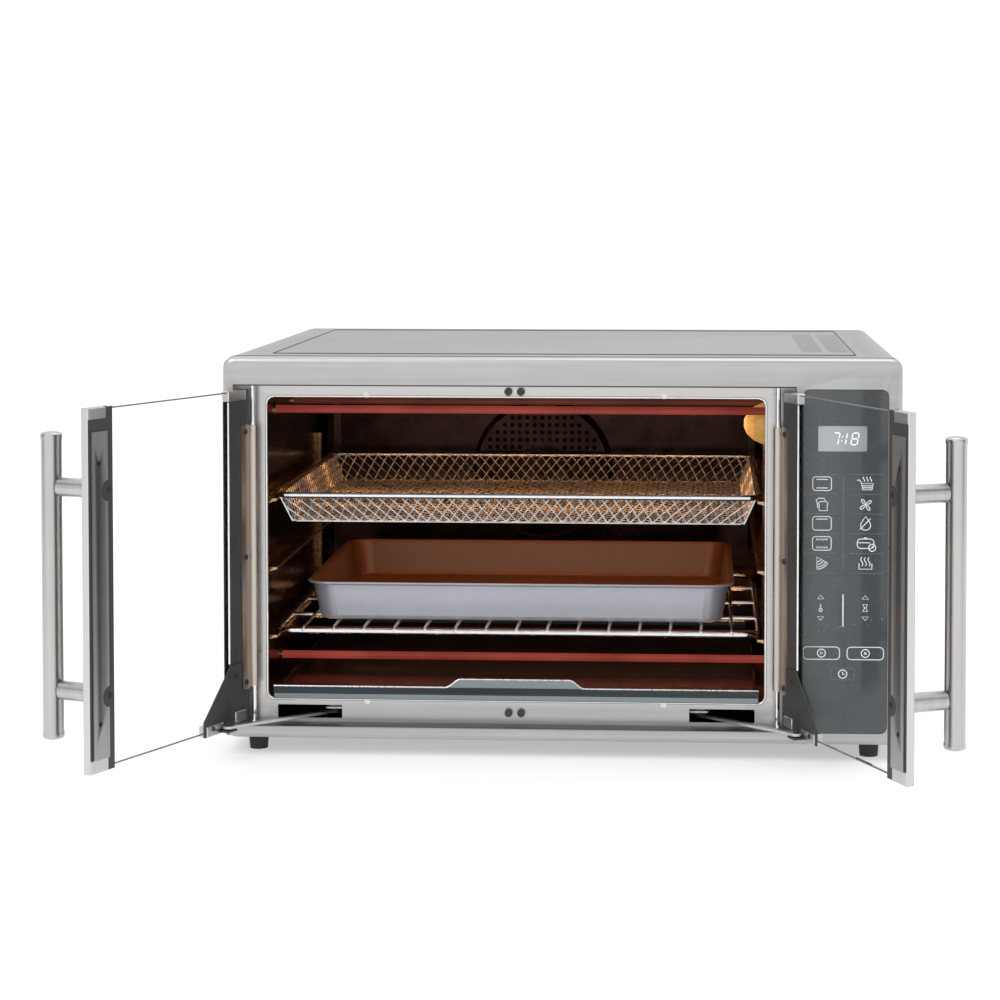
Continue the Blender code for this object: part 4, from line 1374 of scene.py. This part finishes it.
def door_screws(name, place):
    """Handle screws in the notches of the stiffener, the hinge strip's screws and the gusset's."""
    facing = place.to_3x3() @ Vector((0, 1, 0))
    inner = GLASS_PLANE + STILE_HALF
    strip = inner + 0.0015
    spots = [(HANDLE_U, inner, z) for z in POST_HEIGHTS]
    spots += [(0.0098, strip, z) for z in (0.2640, 0.1560, 0.0480)]
    spots += [(0.0250, strip, 0.0560), (0.0600, strip, 0.0170)]
    made = set_out(name + "_door_screws", SCREW, [(place @ Vector(p), facing) for p in spots], BLACK)
    fit(made, name + "_door", "black_paint")


def handle(name, place):
    """Turned bar with a domed cap at each end, and collars where its posts meet the door."""
    outer = GLASS_PLANE - STILE_HALF - 0.0011
    paths = []
    for z in POST_HEIGHTS:
        ring = disc((HANDLE_U, z), radius=0.0078, sides=24)
        paths.append(loop_of([place @ Vector((u, outer, height)) for u, height in ring]))
    collars = wires(name + "_collars", paths, radius=0.0010, finish=BAR)
    low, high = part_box(name + "_door_handle_bar")
    middle = (low.x + high.x) / 2, (low.y + high.y) / 2
    dome = (
        (0.0030, 0.0),
        (0.0066, 0.0004),
        (0.0082, 0.0013),
        (0.0088, 0.0024),
        (0.0088, 0.0056),
        (0.0084, 0.0060),
    )
    levels = [(disc(middle, radius, sides=40), low.z + along) for radius, along in dome]
    levels += [(disc(middle, radius, sides=40), high.z - along) for radius, along in reversed(dome)]
    bar = solid(name + "_bar", stacked("z", levels), [BAR])
    made = joined(name + "_handle", [bar, collars])
    fit(made, name + "_door", "brushed_steel", name + "_door_handle_bar")


def doors():
    """Both doors, mirror images of each other."""
    for name in DOORS:
        place = door_place(name)
        pane(name, place)
        meeting_stile(name, place)
        corner_clips(name, place)
        pane_edgings(name, place)
        strips(name)
        door_screws(name, place)
        handle(name, place)


# ---- control panel -------------------------------------------------------------------------------
PANEL_MIDDLE = 0.2803
CLOCK_KEY_Z = 0.0611


def framed(width, height, radius):
    """Round-cornered frame about the key's middle."""
    return loop_of(ease((-width / 2, -height / 2), (width / 2, height / 2), radius=radius, steps=4))


def round_mark(x, z, radius, sides=16):
    """Circle."""
    return loop_of(disc((x, z), radius=radius, sides=sides))


def teeth(width, z, up, count=3):
    """Zigzag line about the key's middle."""
    step = width / (2 * count)
    return [(-width / 2 + step * i, z + (up if i % 2 else 0.0)) for i in range(2 * count + 1)]


def wisp(x, z, height, swing):
    """Wavy line of rising steam."""
    return [(x + swing * math.sin(2 * math.pi * t / 8), z + height * t / 8) for t in range(9)]


def petal(turn):
    """One blade of the fan mark."""
    path = []
    for step in range(13):
        t = step / 12
        reach = 5.6 * math.sin(math.pi * t) ** 0.7
        angle = turn + 0.95 * (t - 0.35)
        path.append((reach * math.cos(angle), reach * math.sin(angle)))
    return path


def arc(x, z, radius, start, end, steps=8):
    """Part of a circle between two angles in degrees."""
    angles = [math.radians(start + (end - start) * step / steps) for step in range(steps + 1)]
    return [(x + radius * math.cos(a), z + radius * math.sin(a)) for a in angles]


def drop():
    """A falling drop."""
    return loop_of([(0.0, 6.2)] + arc(0.0, -1.4, 4.2, 30, -210, 14))


def cooking_marks():
    """Strokes of the five keys of each column, from the top down, in millimetres."""
    oven_box = framed(15.7, 11.6, 2.4)
    upper_bar = [(-4.8, 3.6), (4.8, 3.6)]
    lower_bar = [(-4.8, -3.6), (4.8, -3.6)]
    slice_front = [(-2.4, -5.2), (4.4, -5.2), (4.4, -0.2), (5.2, 0.8)]
    slice_front += [(3.4, 2.6), (-1.6, 2.6), (-3.0, 1.0), (-2.4, -0.4)]
    slice_back = [(-3.6, -3.0), (-3.8, 0.4), (-5.0, 3.6), (-3.0, 5.4), (1.6, 5.2), (3.0, 3.4)]
    crust = arc(-4.2, 5.0, 10.4, -82, -28, 7)[1:]
    wedge = loop_of([(-4.2, 5.0), (-4.2, -5.0), (-2.8, -5.4)] + crust)
    ribs = [arc(-4.2, 5.0, radius, -86, -30, 6) for radius in (4.2, 6.4, 8.6)]
    basket_body = loop_of([(-3.6, 0.4), (6.2, 0.4), (5.2, -5.0), (-2.6, -5.0)])
    basket_handle = [(-7.4, 3.2), (-5.0, 3.2), (-3.6, 0.4)]
    basket_rows = [[(-3.2, -1.6), (5.8, -1.6)], [(-3.0, -3.3), (5.5, -3.3)]]
    pot = framed(14.0, 8.0, 3.0)
    pot_lid = [[(-7.0, 0.8), (4.0, 0.8)], [(-1.4, 4.9), (1.4, 4.9)]]
    small_clock = [round_mark(5.6, -3.4, 3.0), [(5.6, -1.9), (5.6, -3.4), (6.8, -3.4)]]
    basin = [(-5.4, -0.2), (-5.4, -5.0), (5.4, -5.0), (5.4, -0.2)]
    left = (
        [oven_box, upper_bar, lower_bar],
        [loop_of(slice_front), slice_back],
        [oven_box, upper_bar],
        [oven_box, teeth(9.6, 4.2, -1.6, 4), teeth(9.6, -4.2, 1.6, 4)],
        [wedge] + ribs,
    )
    right = (
        [basket_body, basket_handle] + basket_rows + [wisp(x, 2.0, 4.0, 0.7) for x in (-1.6, 1.3, 4.2)],
        [petal(math.pi / 2 * turn + 0.5) for turn in range(4)],
        [drop(), [(-4.8, -5.0), (4.2, 4.4)]],
        [pot] + pot_lid + small_clock,
        [basin] + [wisp(x, -2.4, 7.4, 0.9) for x in (-3.0, 0.0, 3.0)],
    )
    return left, right


def key_marks():
    """Every key of the panel as (x, z, strokes), with strokes in millimetres about the key's middle."""
    left, right = cooking_marks()
    left_x, right_x = 0.2623, 0.2990
    rows = (0.2229, 0.2052, 0.1892, 0.1722, 0.1556)
    marks = [(left_x, z, strokes) for z, strokes in zip(rows, left)]
    marks += [(right_x, z, strokes) for z, strokes in zip(rows, right)]
    heat_x = 0.2615
    raise_z, sign_z, lower_z = 0.1262, 0.1175, 0.1088
    for x in (heat_x, right_x):
        for z, up in ((raise_z, 1), (lower_z, -1)):
            marks.append((x, z, [loop_of([(-2.7, -1.2 * up), (2.7, -1.2 * up), (0.0, 1.9 * up)])]))
    marks.append((heat_x, sign_z, [[(0.0, 3.0), (0.0, -0.6)], round_mark(0.0, -2.0, 1.3, 10)]))
    sandglass = loop_of([(-2.0, 3.0), (2.0, 3.0), (0.5, 0.0), (2.0, -3.0), (-2.0, -3.0), (-0.5, 0.0)])
    marks.append((right_x, sign_z, [sandglass]))
    play = loop_of([(-0.9, 1.3), (1.3, 0.0), (-0.9, -1.3)])
    cross = ([(-1.1, -1.1), (1.1, 1.1)], [(-1.1, 1.1), (1.1, -1.1)])
    button = framed(30.6, 10.6, 3.2)
    button_z = 0.0788
    marks.append((left_x, button_z, [button, round_mark(0, 0, 3.4), play]))
    marks.append((0.2993, button_z, [button, round_mark(0, 0, 3.4), *cross]))
    hands = [(0.0, 1.9), (0.0, 0.0), (1.4, -0.6)]
    marks.append((PANEL_MIDDLE, CLOCK_KEY_Z, [round_mark(0, 0, 3.5, 20), hands]))
    return marks


def inked(name, marks, radius, finish, y):
    """Printed strokes on the panel glass: wire along each stroke, pressed nearly flat."""
    paths = []
    for x, z, strokes in marks:
        for stroke in strokes:
            paths.append([spot(x + dx * MM, y, z + dz * MM) for dx, dz in stroke])
    made = wires(name, paths, radius=radius, finish=finish, sides=6)
    plane = FACE_Y + y
    flatness = 0.12
    for vert in made.data.vertices:
        vert.co.y = plane + (vert.co.y - plane) * flatness
    return fit(made, "cabinet", "slate_glass")


# Strokes of a clock digit, before they are widened and slanted.
SEGMENTS = {
    "a": ((0.5, 5.0), (3.6, 5.0)),
    "b": ((4.1, 4.6), (4.1, 0.5)),
    "c": ((4.1, -0.5), (4.1, -4.6)),
    "d": ((0.5, -5.0), (3.6, -5.0)),
    "f": ((0.0, 4.6), (0.0, 0.5)),
    "e": ((0.0, -0.5), (0.0, -4.6)),
    "g": ((0.5, 0.0), (3.6, 0.0)),
}
DIGITS = (("abc", 0.0), ("bc", 4.8), ("abcdefg", 12.4))
COLON = 6.3
DIGIT_WIDTH = 1.3
DIGIT_SLANT = 0.2


def clock_face():
    """Display lens with slanted clock digits and a colon."""
    left, right, low, high = 0.2589, 0.2999, 0.2503, 0.2717
    outline = ease((left, BODY_LOW + low), (right, BODY_LOW + high), radius=0.0012, steps=4)
    surface = FACE_Y - 0.0005
    plate = sheet_of("y", surface - 0.00015, surface + TINY, outline)
    lens = solid("display_lens", plate, [display_lens(left, right)])
    fit(lens, "cabinet", "display_grey", "display_module")
    strokes = []
    for lit, along in DIGITS:
        for segment in lit:
            ends = SEGMENTS[segment]
            strokes.append([((along + x) * DIGIT_WIDTH + z * DIGIT_SLANT, z) for x, z in ends])
    for z in (-1.8, 1.8):
        x = COLON * DIGIT_WIDTH + z * DIGIT_SLANT
        strokes.append([(x, z - 0.4), (x, z + 0.4)])
    inked("clock_digits", [(0.2709, 0.2610, strokes)], radius=0.00062, finish=lit_digit(), y=-0.00068)


def panel_print():
    """Marks of the keys, the faint rules between them and the divider of the lower keys."""
    inked("key_marks", key_marks(), radius=0.00042, finish=PALE_INK, y=-0.00055)
    near, far = 5.0, 33.0
    rules = []
    for z in (0.2310, 0.2142, 0.1974, 0.1806, 0.1638, 0.1470):
        rules.append((PANEL_MIDDLE, z, [[(-far, 0.0), (-near, 0.0)], [(near, 0.0), (far, 0.0)]]))
    rules.append((PANEL_MIDDLE, 0.1890, [[(0.0, -40.0), (0.0, 40.0)]]))
    rules.append((PANEL_MIDDLE, CLOCK_KEY_Z, [framed(20.0, 10.0, 2.0)]))
    inked("key_rules", rules, radius=0.00022, finish=print_faint(), y=-0.00053)
    divider = [(PANEL_MIDDLE, 0.1154, [[(0.0, -13.6), (0.0, 13.6)]])]
    inked("key_divider", divider, radius=0.00055, finish=PALE_INK, y=-0.00056)


# ---- studio --------------------------------------------------------------------------------------
def studio_floor():
    """Plain pale floor that glows a little, so that shadows on it stay light."""
    pale = grained(
        "pale_floor", dark=(0.56, 0.56, 0.56), light=(0.58, 0.58, 0.58),
        gloss=(0.8, 0.9), grain=(6.0,) * 3, relief=0.0,
    )
    shader = pale.node_tree.nodes["Principled BSDF"]
    shader.inputs["Emission Color"].default_value = (1.0, 1.0, 1.0, 1.0)
    shader.inputs["Emission Strength"].default_value = 0.46
    solid("studio_floor", block((-14, -14, -0.02), (14, 14, 0.0)), [pale])


def soft_light(name, place, aim, width, height, power, colour=(1, 1, 1)):
    """Rectangular light at a place, turned towards another."""
    lamp = bpy.data.lights.new(name, "AREA")
    lamp.shape = "RECTANGLE"
    lamp.size = width
    lamp.size_y = height
    lamp.energy = power
    lamp.color = colour
    made = placed(name, lamp, place)
    made.rotation_euler = (Vector(aim) - Vector(place)).to_track_quat("-Z", "Y").to_euler()
    return made


def flag(name, low, high, finish):
    """Card out of sight, which puts soft darker streaks into the steel."""
    card = solid(name, block(low, high), [finish])
    card.visible_camera = False
    card.visible_shadow = False
    card.visible_diffuse = False


def studio():
    """White air, two soft lights, and cards that the steel reflects."""
    world = bpy.data.worlds.new("studio_air")
    world.use_nodes = True
    air = world.node_tree.nodes["Background"].inputs
    air["Color"].default_value = (1.0, 1.0, 1.0, 1.0)
    air["Strength"].default_value = 1.13
    bpy.context.scene.world = world
    bpy.context.scene.view_settings.view_transform = "Standard"
    soft_light("key_light", place=(-1.6, -2.4, 2.6), aim=(0, 0, 0.15), width=1.6, height=1.6, power=22)
    soft_light("top_light", place=(0.3, 0.3, 2.6), aim=(0, 0.1, 0.2), width=2.2, height=1.6, power=12)
    flag("flag_left", (-2.41, -1.1, 0.0), (-2.40, -0.1, 2.2), BLACK)
    flag("flag_right", (2.40, -1.4, 0.0), (2.41, -0.4, 2.2), BLACK)
    flag("flag_above", (-2.4, -1.5, 1.9), (2.4, -0.9, 1.91), BLACK)
    grey = grained(
        "grey_card", dark=(0.44, 0.43, 0.43), light=(0.50, 0.49, 0.49),
        gloss=(0.8, 0.9), grain=(3.0,) * 3, relief=0.0,
    )
    flag("flag_behind", (-2.6, 2.99, 0.34), (2.6, 3.0, 1.3), grey)


def heater_glow():
    """Amber light that leaves each heater towards the middle of the cavity."""
    amber = (1.0, 0.42, 0.12)
    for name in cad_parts:
        if "_heater_" in name:
            middle = middle_of(name)
            up = -1 if "upper" in name else 1
            place = (0.0, middle.y, middle.z + up * 0.006)
            aim = (0, middle.y, place[2] + up)
            sizes = {"width": 0.40, "height": 0.004}
            light = soft_light(name + "_glow", place, aim, power=0.10, colour=amber, **sizes)
            light.visible_camera = False
            light.visible_transmission = False


def oven_lamp():
    """The bulb's light, just inside the lamp glass."""
    bulb = bpy.data.lights.new("oven_lamp", "POINT")
    bulb.energy = 0.15
    bulb.color = (1.0, 0.66, 0.30)
    bulb.shadow_soft_size = 0.012
    middle = middle_of("lamp_glass")
    made = placed("oven_lamp", bulb, (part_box("lamp_glass")[0].x - 0.024, middle.y, middle.z))
    made.visible_camera = False
    made.visible_transmission = False
    made.visible_glossy = False


def camera():
    """Long lens a little above the oven's top and right of its middle."""
    lens = bpy.data.cameras.new("camera")
    lens.sensor_width = 36.0
    lens.lens = 90.58
    lens.shift_x = -0.055
    lens.shift_y = -0.20
    made = placed("camera", lens, (0.1608, -2.2677, 0.4833))
    made.rotation_euler = (math.radians(90 - 2.449), 0.0, math.radians(3.364))
    bpy.context.scene.camera = made


def paint_nodes(finish, *patterns):
    """Give the CAD nodes whose names fit a pattern one finish."""
    for name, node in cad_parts.items():
        if any(fnmatchcase(name, pattern) for pattern in patterns):
            for slot in node.material_slots:
                slot.material = finish


def finish_nodes():
    """Finishes of the CAD nodes that keep their own shape."""
    paint_nodes(CAVITY, "cavity_liner", "base_plate", "convection_fan")
    paint_nodes(RAIL_GLINT, "rack_support*")
    paint_nodes(dull_sheath(), "upper_heater_middle", "upper_heater_rear", "lower_heater_rear")
    paint_nodes(glowing_sheath(), "upper_heater_front", "lower_heater_front")
    paint_nodes(lit_glass(), "lamp_glass")
    paint_nodes(lamp_ceramic(), "lamp_socket")
    paint_nodes(motor_housing(), "fan_motor")
    paint_nodes(board_green(), "control_board")
    paint_nodes(slate_glass(), "control_panel_glass")
    paint_nodes(RUBBER, "foot_*", "cord_gland")
    paint_nodes(MAGNET, "magnet_*")
    paint_nodes(BLACK, "panel_carrier", "*_hinge_stile")
    paint_nodes(BAR, "*_handle_post_*")
    paint_nodes(EDGE, "*_hinge_pin")
    paint_nodes(CLIP, "*_door_link", "sync_bar")
    paint_nodes(CHROME, "basket_rim")


finish_nodes()
camera()
studio_floor()
studio()
heater_glow()
oven_lamp()
top_and_sides()
back_panels()
top_seam()
face_plates()
rim_of_mouth()
bezel_seam()
cabinet_screws()
fan_guard()
heater_collars()
rail_edges()
lamp_ring()
rack()
basket()
pan()
tray()
doors()
clock_face()
panel_print()
for made in TEMPLATES:
    bpy.data.objects.remove(made)
